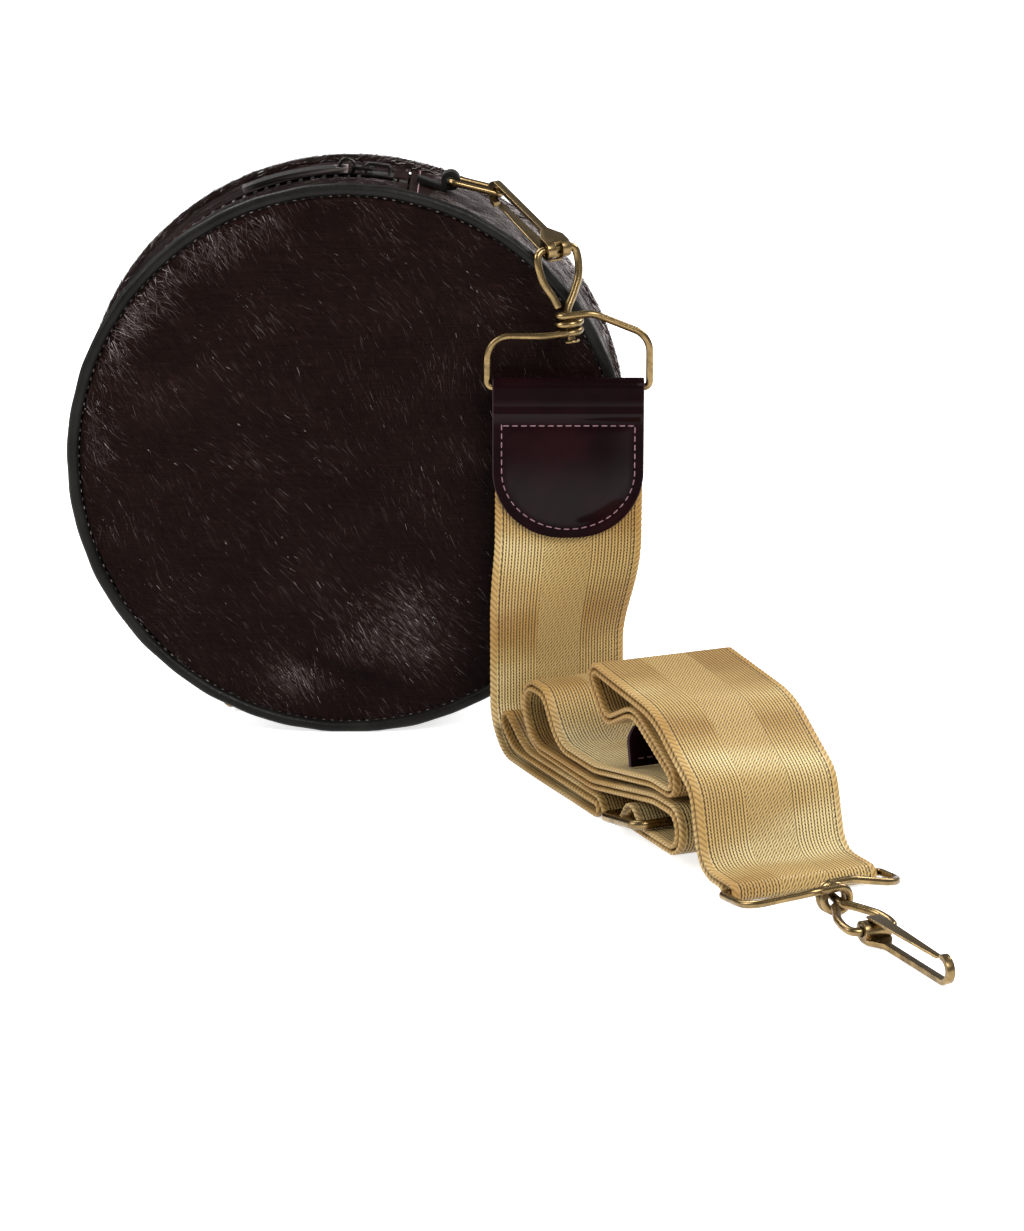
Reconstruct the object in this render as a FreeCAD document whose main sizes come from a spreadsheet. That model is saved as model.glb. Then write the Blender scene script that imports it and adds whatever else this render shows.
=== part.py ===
import FreeCAD, Part
import math
import os
import Sketcher

# Circle bag: a drum of hair-on hide that stands on its rim, with a zip round half of the gusset,
# and a wide webbing strap clipped to its upper ring and folded into a pile on the floor.
# Frame: X to the right of the front face, Y into the bag along the drum's axis, Z up, floor at Z = 0.

Vector = FreeCAD.Vector
doc = FreeCAD.newDocument("circle_bag")
sheet = doc.addObject("Spreadsheet::Sheet", "sizes")

SIZES = {
    # drum
    "rim_radius": 95.0, "rim_pitch": 31.0, "piping_diameter": 4.2, "stand_flat": 0.6,
    "panel_wall": 2.4, "panel_crown": 2.0, "board_wall": 1.2, "lining_wall": 0.6,
    "gusset_step": 1.5, "gusset_wall": 2.0, "seam_gap": 0.3,
    "gusset_middle_angle": -25.0, "gusset_sweep": 204.0,
    # zip
    "zip_sweep": 155.0, "zip_slot": 8.0, "tape_wall": 0.8, "tape_lap": 6.0, "tape_gap": 1.2,
    "tooth_reach": 2.1, "tooth_height": 1.6, "tooth_length": 1.6, "tooth_count": 61.0, "stop_length": 3.0,
    "slider_width": 7.2, "slider_length": 11.0, "slider_plate": 1.1, "slider_clear": 0.35,
    "slider_angle": 84.0,
    "slider_post": 0.5, "bridge_rise": 3.4, "bridge_width": 2.4, "bridge_wall": 1.0,
    "tag_length": 7.5, "tag_width": 4.6, "tag_wall": 1.2,
    "pull_ring_diameter": 5.2, "pull_ring_wire": 1.2, "pull_length": 37.0, "pull_width": 8.0,
    "pull_wall": 1.8, "pull_lift": 1.15, "pull_hole": 3.4, "pull_lap": 2.7,
    # ring tabs and rings
    "ring_length": 17.5, "ring_width": 11.0, "ring_corner": 1.9, "ring_wire": 2.2, "ring_clear": 0.35,
    "ring_tab_width": 6.6, "ring_tab_wall": 1.8, "ring_tab_strap": 11.0, "ring_tab_rise": 4.6,
    "ring_a_angle": 69.2, "ring_b_angle": 235.7, "ring_a_slope": 14.0, "ring_b_slope": 45.0,
    "inner_pocket_width": 90.0, "inner_pocket_height": 62.0, "inner_pocket_wall": 0.7,
    "inner_pocket_drop": 12.0,
    # snap hooks
    "hook_reach": 41.5, "hook_strip": 1.6, "hook_nose": 2.9, "hook_nose_turn": 190.0, "hook_base_width": 8.6,
    "hook_arm_width": 2.6, "hook_base_length": 3.6, "hook_taper_length": 5.0, "barrel_clear": 0.3,
    "barrel_slot": 2.4, "gate_width": 4.8, "gate_tip_width": 2.4, "gate_wall": 0.8, "gate_gap": 0.3,
    "hook_nose_lip": 10.0, "gate_foot": 1.0, "hook_a_seat": 30.0, "nose_slack": 0.5, "nose_lift": 0.3,
    "eye_wire": 2.7, "eye_half_width": 7.2, "eye_corner": 2.8, "eye_drop": 9.0, "eye_length": 19.0,
    "eye_side_round": 7.0, "eye_foot_round": 5.0, "eye_end_gap": 2.9, "eye_end_lift": 1.0,
    "stem_length": 12.5, "coil_drop": 6.0,
    "stem_head": 5.6, "stem_head_wall": 1.2,
    "loop_wire": 2.5, "loop_room": 4.5, "loop_height": 22.0, "loop_shoulder": 4.5, "loop_corner": 5.0,
    "loop_bar_corner": 2.0,
    "coil_radius": 3.9, "coil_pitch": 2.95, "coil_turns": 2.0, "coil_lead": 8.0,
    # strap
    "webbing_width": 50.0, "webbing_wall": 1.6, "bar_clear": 0.3,
    "tab_overhang": 0.5, "tab_length": 51.5, "tab_wall": 1.7, "tab_round_share": 0.45, "tab_neck": 6.0,
    "webbing_tuck": 13.0,
    "glide_pitch": 13.0, "glide_wire": 3.0, "glide_room": 7.0, "glide_corner": 4.0, "glide_tilt": 9.2,
    "glide_along": 110.0, "glide_floor": 6.9,
    "patch_inset": 3.0, "patch_height": 14.0, "patch_wall": 1.8, "patch_lean": 12.0, "patch_round": 6.5,
    "patch_along": 104.0, "patch_floor": 22.1,
    # where the strap lies
    "pile_x": 48.0, "pile_y": -53.0, "pile_turn": 24.0, "pile_top": 33.8, "return_gap": 2.1,
    "hook_a_yaw": 30.0, "hook_a_pitch": 19.6, "eye_a_lean_x": 10.0, "eye_a_lean_y": 7.0,
    "loop_b_rise": 5.0, "eye_b_dip": 5.0, "hook_b_dip": 0.0, "hang_sections": 5.0, "cut_over": 20.0,
}

# The webbing's fold line at its near edge, from the foot of the hanging run: (turn in degrees, radius, run).
# A row with a turn is an arc of that radius, and a row with a run is a straight stretch.
SINGLE_ROUTE = [
    (0, 0, 16.0), (90, 17.0, 0), (0, 0, 67.0), (180, 2.0, 0), (0, 0, 60.0), (-45, 20.0, 0), (-165, 3.0, 0),
    (0, 0, 10.0), (30, 24.0, 0), (0, 0, 49.86), (-50, 4.36, 0), (0, 0, 1.0), (50, 7.5, 0), (0, 0, 4.2),
    (50, 4.0, 0), (0, 0, 7.7), (-50, 5.3, 0), (-40, 5.3, 0), (0, 0, 4.4), (40, 4.0, 0),
]
DOUBLE_ROUTE = [
    (0, 0, 18.65), (180, 5.5, 0), (0, 0, 8.0), (10, 40.0, 0), (0, 0, 38.0), (-10, 40.0, 0), (0, 0, 36.68),
    (-75, 16.0, 0), (-105, 8.5, 0), (0, 0, 5.0), (-52, 9.0, 0), (0, 0, 8.0), (52, 14.0, 0), (0, 0, 16.0),
    (10, 40.0, 0), (0, 0, 36.0), (-10, 40.0, 0), (0, 0, 8.0), (155, 2.6, 0), (0, 0, 24.0), (50, 12.0, 0),
    (0, 0, 10.0), (-70, 7.5, 0), (0, 0, 10.0), (-141, 4.0, 0), (0, 0, 34.0), (-24, 40.0, 0), (0, 0, 20.0),
    (-45, 12.0, 0), (0, 0, 12.5), (75, 9.0, 0),
]
LAST_RUN = 11.0
RETURN_TURN = 25.0
RETURN_RADIUS = 6.0

for row, (name, value) in enumerate(SIZES.items(), start=1):
    sheet.set(f"A{row}", name)
    sheet.set(f"B{row}", str(value))
    sheet.setAlias(f"B{row}", name)
doc.recompute()


class Size:
    """A length or angle that knows its number and the sheet expression that gives it."""

    def __init__(self, text, value):
        self.text = text
        self.value = value

    def joined(self, sign, other, value):
        return Size(f"({self.text} {sign} {as_size(other).text})", value)

    def __add__(self, other):
        return self.joined("+", other, self.value + float(other))

    def __sub__(self, other):
        return self.joined("-", other, self.value - float(other))

    def __mul__(self, other):
        return self.joined("*", other, self.value * float(other))

    def __truediv__(self, other):
        return self.joined("/", other, self.value / float(other))

    def __neg__(self):
        return Size(f"(0 - {self.text})", -self.value)

    def __float__(self):
        return self.value


def as_size(number):
    return number if isinstance(number, Size) else Size(repr(float(number)), float(number))


def size(name):
    return Size(f"sizes.{name}", SIZES[name])


def num(name):
    return SIZES[name]


# Shared directions and places
pieces = []
rim = size("rim_radius")
centre_z = rim
piping_r = size("piping_diameter") / 2
gusset_r = rim - size("gusset_step")
half_pitch = size("rim_pitch") - piping_r
front_view = FreeCAD.Rotation(Vector(1, 0, 0), 90)


def kept(obj, label):
    obj.Label = label
    pieces.append(obj)
    return obj


def bind(obj, **values):
    for prop, value in values.items():
        obj.setExpression(prop.replace("__", "."), as_size(value).text)
    return obj


def cylinder(radius, height, angle=None):
    obj = doc.addObject("Part::Cylinder", "cylinder")
    bind(obj, Radius=radius, Height=height)
    if angle is not None:
        bind(obj, Angle=angle)
    return obj


def cut(base, tool):
    obj = doc.addObject("Part::Cut", "cut")
    obj.Base = base
    obj.Tool = tool
    return obj


def about_axis(obj, start_angle, y_back):
    """Stand a piece built along Z on the drum's axis, turned to its start angle, its base at y_back."""
    turn = front_view * FreeCAD.Rotation(Vector(0, 0, 1), start_angle)
    obj.Placement = FreeCAD.Placement(Vector(0, 0, 0), turn)
    return bind(obj, Placement__Base__y=y_back, Placement__Base__z=centre_z)


def band(label, r_out, wall, y_front, y_back, start_angle, sweep):
    """A strip bent round the drum's axis between two angles."""
    width = y_back - y_front
    outer = cylinder(r_out, width, sweep)
    inner = cylinder(r_out - wall, width, sweep)
    return kept(about_axis(cut(outer, inner), start_angle, y_back), label)


def at_drum(radius, angle, y=0.0):
    """The point at this radius and angle of the drum, as the front face shows it."""
    turn = math.radians(angle)
    return Vector(radius * math.cos(turn), y, float(centre_z) + radius * math.sin(turn))


# Front and back panels: crowned discs of hide, each backed by a board and a lining disc
panel_r = rim - piping_r * 2 - size("seam_gap")
crown = size("panel_crown")
ball_r = (panel_r * panel_r + crown * crown) / (crown * 2)
for side, name in ((-1, "front"), (1, "back")):
    face = size("rim_pitch") * side
    disc = cylinder(panel_r, size("panel_wall") + crown)
    ball = doc.addObject("Part::Sphere", "ball")
    bind(ball, Radius=ball_r, Placement__Base__z=size("panel_wall") + crown - ball_r)
    panel = doc.addObject("Part::Common", "panel")
    panel.Base = disc
    panel.Tool = ball
    panel.Placement = FreeCAD.Placement(Vector(), FreeCAD.Rotation(Vector(1, 0, 0), -90 * side))
    back_of_panel = size("rim_pitch") - size("panel_wall")
    bind(panel, Placement__Base__y=back_of_panel * side, Placement__Base__z=centre_z)
    kept(panel, f"{name}_panel")
    inside = back_of_panel - size("seam_gap") / 3
    for wall, label in (("board_wall", "board"), ("lining_wall", "lining")):
        disc = cylinder(panel_r, size(wall))
        disc.Placement = FreeCAD.Placement(Vector(), FreeCAD.Rotation(Vector(1, 0, 0), 90 * side))
        bind(disc, Placement__Base__y=inside * side, Placement__Base__z=centre_z)
        kept(disc, f"{name}_{label}")
        inside = inside - size(wall) - size("seam_gap") / 3
    ring = doc.addObject("Part::Torus", "ring")
    bind(ring, Radius1=rim + size("stand_flat") - piping_r, Radius2=piping_r, Angle1=0, Angle2=360)
    floor = doc.addObject("Part::Box", "floor")
    bind(floor, Length=rim * 2, Width=size("cut_over"), Height=size("cut_over"))
    bind(floor, Placement__Base__x=-rim, Placement__Base__y=-rim - size("cut_over"),
         Placement__Base__z=-size("cut_over") / 2)
    kept(about_axis(cut(ring, floor), 0, face), f"{name}_piping")

# Gusset: hide round the lower right, zip round the upper left, and a lining all round
gusset_edge = half_pitch - size("seam_gap")
gusset_start = num("gusset_middle_angle") - num("gusset_sweep") / 2
zip_middle = num("gusset_middle_angle") + 180
zip_start = zip_middle - num("zip_sweep") / 2
band("gusset_band", gusset_r, size("gusset_wall"), -gusset_edge, gusset_edge, gusset_start,
     size("gusset_sweep"))
tape_r = gusset_r - size("gusset_wall") - size("seam_gap") / 3
slot = size("zip_slot") / 2
for side, name in ((-1, "front"), (1, "back")):
    edges = sorted([gusset_edge * side, slot * side], key=float)
    band(f"zip_facing_{name}", gusset_r, size("gusset_wall"), edges[0], edges[1], zip_start,
         size("zip_sweep"))
    edges = sorted([(slot + size("tape_lap")) * side, size("tape_gap") / 2 * side], key=float)
    band(f"zip_tape_{name}", tape_r, size("tape_wall"), edges[0], edges[1], zip_start, size("zip_sweep"))
lining_r = tape_r - size("tape_wall") - size("seam_gap") / 3
lining_edge = gusset_edge - size("gusset_wall")
band("gusset_lining", lining_r, size("lining_wall"), -lining_edge, lining_edge, gusset_start,
     size("gusset_sweep"))


def plane(body, role):
    return next(item for item in body.Origin.OriginFeatures if item.Role == role)


def sketch_on(body, name, role):
    sketch = body.newObject("Sketcher::SketchObject", name)
    sketch.AttachmentSupport = [(plane(body, role), "")]
    sketch.MapMode = "FlatFace"
    return sketch


def hold(sketch, kind, geometry, point, value):
    """Hold one coordinate of a sketch point: on the axis where it is zero, or at a bound distance."""
    if float(value) == 0.0:
        axis = -2 if kind == "DistanceX" else -1
        sketch.addConstraint(Sketcher.Constraint("PointOnObject", geometry, point, axis))
        return
    rule = Sketcher.Constraint(kind, -1, 1, geometry, point, float(value))
    index = sketch.addConstraint(rule)
    sketch.setExpression(f"Constraints[{index}]", as_size(value).text)


def outline(sketch, points):
    """A closed outline of straight lines through points whose coordinates are bound to the sheet."""
    places = [Vector(float(x), float(y), 0) for x, y in points]
    for index, place in enumerate(places):
        sketch.addGeometry(Part.LineSegment(place, places[(index + 1) % len(places)]), False)
    for index in range(len(places)):
        sketch.addConstraint(Sketcher.Constraint("Coincident", index, 2, (index + 1) % len(places), 1))
    for index, (x, y) in enumerate(points):
        hold(sketch, "DistanceX", index, 1, x)
        hold(sketch, "DistanceY", index, 1, y)


def padded(body, sketch, length, midplane=True):
    pad = body.newObject("PartDesign::Pad", "pad")
    pad.Profile = sketch
    pad.Midplane = midplane
    bind(pad, Length=length)
    return pad


def plate(name, role, points, length):
    """A body padded both ways from an origin plane with a straight-sided outline."""
    body = doc.addObject("PartDesign::Body", name)
    sketch = sketch_on(body, "outline", role)
    outline(sketch, points)
    padded(body, sketch, length)
    return body


# Zip teeth: one tooth, repeated round the slot, on each tape
tooth_bottom = tape_r + size("seam_gap") / 3
tooth_turn = num("zip_sweep") - 2 * num("stop_length") / num("rim_radius") * 180 / math.pi - 2
for side, name in ((-1, "front"), (1, "back")):
    body = doc.addObject("PartDesign::Body", f"zip_teeth_{name}")
    tooth = sketch_on(body, "tooth", "XZ_Plane")
    near = size("tape_gap") / -2 * side
    far = near - size("tooth_reach") * side
    outline(tooth, [(tooth_bottom, near), (tooth_bottom + size("tooth_height"), near),
                    (tooth_bottom + size("tooth_height"), far), (tooth_bottom, far)])
    pad = padded(body, tooth, size("tooth_length"))
    doc.recompute()
    row = body.newObject("PartDesign::PolarPattern", "row")
    row.Originals = [pad]
    row.Axis = (plane(body, "Z_Axis"), [""])
    row.Angle = tooth_turn
    row.Occurrences = int(num("tooth_count"))
    body.Tip = row
    body.Placement = FreeCAD.Placement(Vector(0, 0, 0), front_view * FreeCAD.Rotation(
        Vector(0, 0, 1), zip_middle - tooth_turn / 2))
    bind(body, Placement__Base__z=centre_z)
    kept(body, f"zip_teeth_{name}")


def group(kind, parts):
    obj = doc.addObject(kind, "group")
    if kind == "Part::Compound":
        obj.Links = parts
    else:
        obj.Shapes = parts
    return obj


def on_rim(angle, radius):
    """A frame on the drum's rim: Z outwards, X along the rim as a clock turns, Y along the axis."""
    turn = math.radians(angle)
    out = Vector(math.cos(turn), 0, math.sin(turn))
    along = Vector(math.sin(turn), 0, -math.cos(turn))
    return FreeCAD.Placement(at_drum(radius, angle), FreeCAD.Rotation(along, Vector(0, 1, 0), out, "ZXY"))


def bent(r_out, wall, half_width, start_angle, sweep):
    """A short strip on the drum's axis, centred on the zip, that is part of a larger piece."""
    outer = cylinder(r_out, half_width * 2, sweep)
    inner = cylinder(r_out - wall, half_width * 2, sweep)
    return about_axis(cut(outer, inner), start_angle, half_width)


# Zip stops: one bent clip across both rows of teeth at each end
stop_turn = size("stop_length") * 180 / math.pi / rim
stop_edge = size("tape_gap") / 2 + size("tooth_reach")
stop_starts = (zip_start, zip_start + num("zip_sweep") - float(stop_turn))
stops = [bent(tooth_bottom + size("tooth_height"), size("tooth_height"), stop_edge, start, stop_turn)
         for start in stop_starts]
kept(group("Part::Compound", stops), "zip_stops")

# Zip slider: two bent plates joined by a thin post between the rows, with an arched bridge on top
slider_turn = size("slider_length") * 180 / math.pi / rim
slider_start = num("slider_angle") - float(slider_turn) / 2
top_r = tooth_bottom + size("tooth_height") + size("slider_clear") + size("slider_plate")
low_r = tape_r - size("tape_wall") - size("slider_clear")
top_plate = bent(top_r, size("slider_plate"), size("slider_width") / 2, slider_start, slider_turn)
low_plate = bent(low_r, size("slider_plate"), size("slider_width") / 2, slider_start, slider_turn)
post = bent(top_r - size("slider_plate") / 2, top_r - low_r, size("slider_post") / 2, slider_start,
            slider_turn)
foot = size("slider_length") / 2 - size("bridge_wall")
inner_foot = foot - size("bridge_wall")
rise = size("bridge_rise")
bridge = plate("bridge", "XZ_Plane", [
    (-foot, -size("bridge_wall") / 2), (-foot, rise - size("bridge_wall")), (-inner_foot, rise),
    (inner_foot, rise), (foot, rise - size("bridge_wall")), (foot, -size("bridge_wall") / 2),
    (inner_foot, -size("bridge_wall") / 2), (inner_foot, rise - size("bridge_wall")),
    (-inner_foot, rise - size("bridge_wall")),
    (-inner_foot, -size("bridge_wall") / 2)], size("bridge_width"))
slider_place = on_rim(num("slider_angle"), float(top_r))
bridge.Placement = slider_place
kept(group("Part::MultiFuse", [top_plate, low_plate, post, bridge]), "zip_slider")

# Zip tag: a flat link whose end bar hangs under the bridge, with a hole for the pull ring
tag_lift = size("bridge_rise") / 2 - size("bridge_wall") / 2
tag_bar = inner_foot - size("tag_wall") * 1.5
tag_end = tag_bar + size("tag_length")
window = foot + size("tag_wall")
tag_half = size("bridge_width") / 2 + size("slider_clear")
tag = plate("tag", "XY_Plane", [(-tag_end, -size("tag_width") / 2), (-tag_bar, -size("tag_width") / 2),
                                (-tag_bar, size("tag_width") / 2), (-tag_end, size("tag_width") / 2)],
            size("tag_wall"))
opening = sketch_on(tag, "window", "XY_Plane")
bar_edge = inner_foot - size("tag_wall") / 2
outline(opening, [(-window, -tag_half), (-bar_edge, -tag_half), (-bar_edge, tag_half),
                  (-window, tag_half)])
pocket = tag.newObject("PartDesign::Pocket", "window_pocket")
pocket.Profile = opening
pocket.Type = "ThroughAll"
pocket.Midplane = True
ring_r = size("pull_ring_diameter") / 2
hole_x = tag_end - size("tag_wall")
eyelet = sketch_on(tag, "eyelet", "XY_Plane")
eyelet.addGeometry(Part.Circle(Vector(-float(hole_x), 0, 0), Vector(0, 0, 1), 1), False)
eyelet.addConstraint(Sketcher.Constraint("PointOnObject", 0, 3, -1))
hold(eyelet, "DistanceX", 0, 3, -hole_x)
eyelet_width = size("pull_ring_wire") + size("slider_clear") * 2
index = eyelet.addConstraint(Sketcher.Constraint("Diameter", 0, float(eyelet_width)))
eyelet.setExpression(f"Constraints[{index}]", eyelet_width.text)
bore = tag.newObject("PartDesign::Pocket", "eyelet_pocket")
bore.Profile = eyelet
bore.Type = "ThroughAll"
bore.Midplane = True
tag_place = FreeCAD.Placement(Vector(0, 0, float(tag_lift)), FreeCAD.Rotation())
tag.Placement = slider_place.multiply(tag_place)
kept(tag, "zip_tag")


# Pull: a small wire ring through the tag, and a leather strip that lies along the zip
pull_ring = doc.addObject("Part::Torus", "wire_ring")
bind(pull_ring, Radius1=ring_r, Radius2=size("pull_ring_wire") / 2)
ring_x = float(hole_x + ring_r)
ring_place = FreeCAD.Placement(Vector(-ring_x, 0, float(tag_lift)), front_view)
pull_ring.Placement = slider_place.multiply(ring_place)
kept(pull_ring, "pull_ring")
pull_r = gusset_r + size("pull_lift") + size("pull_wall")
pull_turn = size("pull_length") * 180 / math.pi / pull_r
pull_start = num("slider_angle") + math.degrees((ring_x - num("slider_clear")) / float(pull_r))
strip = bent(pull_r, size("pull_wall"), size("pull_width") / 2, pull_start, pull_turn)
punch = cylinder(size("pull_hole") / 2, size("cut_over"))
punch_angle = pull_start + math.degrees(num("pull_lap") / float(pull_r))
punch.Placement = on_rim(punch_angle, float(gusset_r) - num("gusset_wall"))
kept(cut(strip, punch), "pull_strip")


def box(length, width, height, x, y, z):
    """A block from its corner, for joining to other blocks and rounds."""
    obj = doc.addObject("Part::Box", "block")
    return bind(obj, Length=length, Width=width, Height=height,
                Placement__Base__x=x, Placement__Base__y=y, Placement__Base__z=z)


def round_bar(radius, length, axis, angle=None, start=0.0):
    """A round bar centred on the origin, along X, Y or Z, or a sector of one."""
    obj = cylinder(radius, length, angle)
    turns = {"X": FreeCAD.Rotation(Vector(0, 1, 0), 90), "Y": front_view, "Z": FreeCAD.Rotation()}
    obj.Placement = FreeCAD.Placement(Vector(), turns[axis] * FreeCAD.Rotation(Vector(0, 0, 1), start))
    starts = {"X": "Placement__Base__x", "Y": "Placement__Base__y", "Z": "Placement__Base__z"}
    half = length / 2 if axis == "Y" else -length / 2
    return bind(obj, **{starts[axis]: half})


def frame_at(place, x_axis, z_axis):
    return FreeCAD.Placement(place, FreeCAD.Rotation(x_axis, z_axis.cross(x_axis), z_axis, "ZXY"))


# Ring tabs: a leather strip stitched on the gusset, its end rolled round the ring's bar
bar_r = size("ring_wire") / 2
roll_in = bar_r + size("ring_clear")
roll_out = roll_in + size("ring_tab_wall")
for name, side in (("a", -1), ("b", 1)):
    outer = round_bar(roll_out, size("ring_tab_width"), "Y")
    inner = round_bar(roll_in, size("ring_tab_width") * 2, "Y")
    strap_x = -size("ring_tab_strap") if side < 0 else as_size(0)
    base = box(size("ring_tab_strap"), size("ring_tab_width"), size("ring_tab_wall"), strap_x,
               -size("ring_tab_width") / 2, size("seam_gap") - size("ring_tab_rise"))
    tab = cut(group("Part::MultiFuse", [outer, base]), inner)
    tab.Placement = on_rim(num(f"ring_{name}_angle"), float(gusset_r + size("ring_tab_rise")))
    kept(tab, f"ring_tab_{name}")


def rounded_ring(name, length, width, corner, wire):
    """A wire bent into a rounded rectangle round the origin, its length along X."""
    body = doc.addObject("PartDesign::Body", name)
    path = sketch_on(body, "path", "XY_Plane")
    x, y, r = float(length) / 2, float(width) / 2, float(corner)
    corners = ((1, -1, -90), (1, 1, 0), (-1, 1, 90), (-1, -1, 180))
    path.addGeometry(Part.LineSegment(Vector(0, -y, 0), Vector(x - r, -y, 0)), False)
    for i, (sx, sy, start) in enumerate(corners):
        ring = Part.Circle(Vector(sx * (x - r), sy * (y - r), 0), Vector(0, 0, 1), r)
        bend = Part.ArcOfCircle(ring, math.radians(start), math.radians(start + 90))
        path.addGeometry(bend, False)
        ends = [Vector(x, y - r, 0), Vector(r - x, y, 0), Vector(-x, r - y, 0), Vector(0, -y, 0)]
        path.addGeometry(Part.LineSegment(bend.EndPoint, ends[i]), False)
    rule = Sketcher.Constraint
    for i in range(8):
        path.addConstraint(rule("Tangent", i, 2, i + 1, 1))
    path.addConstraint([rule("Coincident", 8, 2, 0, 1), rule("Horizontal", 0), rule("Vertical", 2),
                        rule("Horizontal", 4), rule("Vertical", 6), rule("Horizontal", 8),
                        rule("PointOnObject", 0, 1, -2), rule("Equal", 1, 3), rule("Equal", 1, 5),
                        rule("Equal", 1, 7), rule("Symmetric", 3, 3, 7, 3, -1, 1)])
    for limit, value in ((rule("DistanceX", 6, 1, 2, 1, 2 * x), length),
                         (rule("DistanceY", 0, 1, 4, 1, 2 * y), width), (rule("Radius", 1, r), corner)):
        path.setExpression(f"Constraints[{path.addConstraint(limit)}]", as_size(value).text)
    section = sketch_on(body, "section", "YZ_Plane")
    section.addGeometry(Part.Circle(Vector(-y, 0, 0), Vector(0, 0, 1), float(wire) / 2), False)
    section.addConstraint(rule("PointOnObject", 0, 3, -1))
    hold(section, "DistanceX", 0, 3, -as_size(width) / 2)
    limit = section.addConstraint(rule("Diameter", 0, float(wire)))
    section.setExpression(f"Constraints[{limit}]", as_size(wire).text)
    doc.recompute()
    pipe = body.newObject("PartDesign::AdditivePipe", "pipe")
    pipe.Profile = section
    pipe.Spine = (path, [f"Edge{i}" for i in range(1, 10)])
    return body


# Rings: brass wire rings that hang in the tabs
ring_ways = {}
for name in ("a", "b"):
    slope = math.radians(num(f"ring_{name}_slope"))
    way = Vector(math.cos(slope), 0, -math.sin(slope))
    bar = at_drum(float(gusset_r + size("ring_tab_rise")), num(f"ring_{name}_angle"))
    ring = rounded_ring(f"wire_{name}", size("ring_length"), size("ring_width"), size("ring_corner"),
                        size("ring_wire"))
    place = frame_at(bar + way * (num("ring_length") / 2), way, way.cross(Vector(0, 1, 0)))
    ring.Placement = place
    kept(ring, f"ring_{name}")
    ring_ways[name] = place

# Inner pocket: a flat patch pocket on the back lining
pocket_back = inside - size("seam_gap") / 3
pocket_x = -size("inner_pocket_width") / 2
pocket_z = centre_z - size("inner_pocket_height") / 2 - size("inner_pocket_drop")
kept(box(size("inner_pocket_width"), size("inner_pocket_wall"), size("inner_pocket_height"), pocket_x,
         pocket_back - size("inner_pocket_wall"), pocket_z), "inner_pocket")


# Snap hooks: a rolled barrel, an arm that tapers to a hooked nose, and a sprung leaf gate
barrel_in = size("eye_wire") / 2 + size("barrel_clear")
barrel_out = barrel_in + size("hook_strip")
nose_in = size("hook_nose")
nose_out = nose_in + size("hook_strip")
nose_y = nose_in - barrel_in
reach = size("hook_reach")
base_half = size("hook_base_width") / 2
arm_half = size("hook_arm_width") / 2
taper_end = size("hook_base_length") + size("hook_taper_length")
nose_top = reach + nose_out * 2


def snap_hook(label, place):
    wide = size("hook_base_width")
    sheet_block = group("Part::MultiFuse", [round_bar(barrel_out, wide, "X"), box(
        wide, size("hook_strip"), reach, -base_half, -barrel_out, as_size(0))])
    bend = cut(round_bar(nose_out, wide, "X", size("hook_nose_turn"), 90.0 - num("hook_nose_lip")),
               round_bar(nose_in, wide * 2, "X"))
    bind(bend, Placement__Base__y=nose_y, Placement__Base__z=reach)
    rolled = cut(group("Part::MultiFuse", [sheet_block, bend]), round_bar(barrel_in, wide * 2, "X"))
    slot_cut = box(size("barrel_slot"), barrel_out * 2, barrel_out, -size("barrel_slot") / 2, -barrel_out,
                   -barrel_out - barrel_in / 2)
    front = plate("front_outline", "XZ_Plane", [
        (-base_half, -barrel_out), (base_half, -barrel_out), (base_half, size("hook_base_length")),
        (arm_half, taper_end), (arm_half, nose_top), (-arm_half, nose_top), (-arm_half, taper_end),
        (-base_half, size("hook_base_length"))], nose_top)
    hook = doc.addObject("Part::Common", "hook")
    hook.Base = cut(rolled, slot_cut)
    hook.Tool = front
    hook.Placement = place
    return kept(hook, label)


def leaf_gate(label, place):
    leaf_y = barrel_out + size("gate_gap") + size("gate_wall") / 2
    tip = reach - nose_in
    wide, narrow = size("gate_width") / 2, size("gate_tip_width") / 2
    foot_z = size("gate_foot")
    leaf = plate("leaf", "XZ_Plane", [
        (-wide, -foot_z), (wide, -foot_z), (wide, size("hook_base_length")), (narrow, tip), (-narrow, tip),
        (-wide, size("hook_base_length"))], size("gate_wall"))
    leaf.Placement = place.multiply(FreeCAD.Placement(Vector(0, float(leaf_y), 0), FreeCAD.Rotation()))
    return kept(leaf, label)


def way_of(yaw, pitch):
    """A direction that many degrees from the front towards the right, and that many down."""
    turn, dip = math.radians(yaw), math.radians(pitch)
    return Vector(math.sin(turn) * math.cos(dip), -math.cos(turn) * math.cos(dip), -math.sin(dip))


corner_x = num("ring_length") / 2 - num("ring_corner") * (1 - math.sin(math.radians(num("hook_a_seat"))))
corner_y = num("ring_corner") * (1 - math.cos(math.radians(num("hook_a_seat")))) - num("ring_width") / 2
nose_a = ring_ways["a"].multVec(Vector(corner_x, corner_y, 0))
hook_a_way = way_of(num("hook_a_yaw"), num("hook_a_pitch"))
lean_x, lean_y = math.radians(num("eye_a_lean_x")), math.radians(num("eye_a_lean_y"))
stem_a_way = Vector(math.tan(lean_x), -math.tan(lean_y), -1)
stem_a_way.normalize()
cross_a = stem_a_way.cross(hook_a_way)
cross_a.normalize()
if cross_a.x < 0:
    cross_a = -cross_a
hook_a = frame_at(nose_a, cross_a, -hook_a_way)
nose_seat = Vector(0, float(nose_y) - num("nose_lift"), float(reach) - num("nose_slack"))
hook_a.Base = nose_a - hook_a.Rotation.multVec(nose_seat)
snap_hook("hook_a", hook_a)
leaf_gate("gate_a", hook_a)


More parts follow.
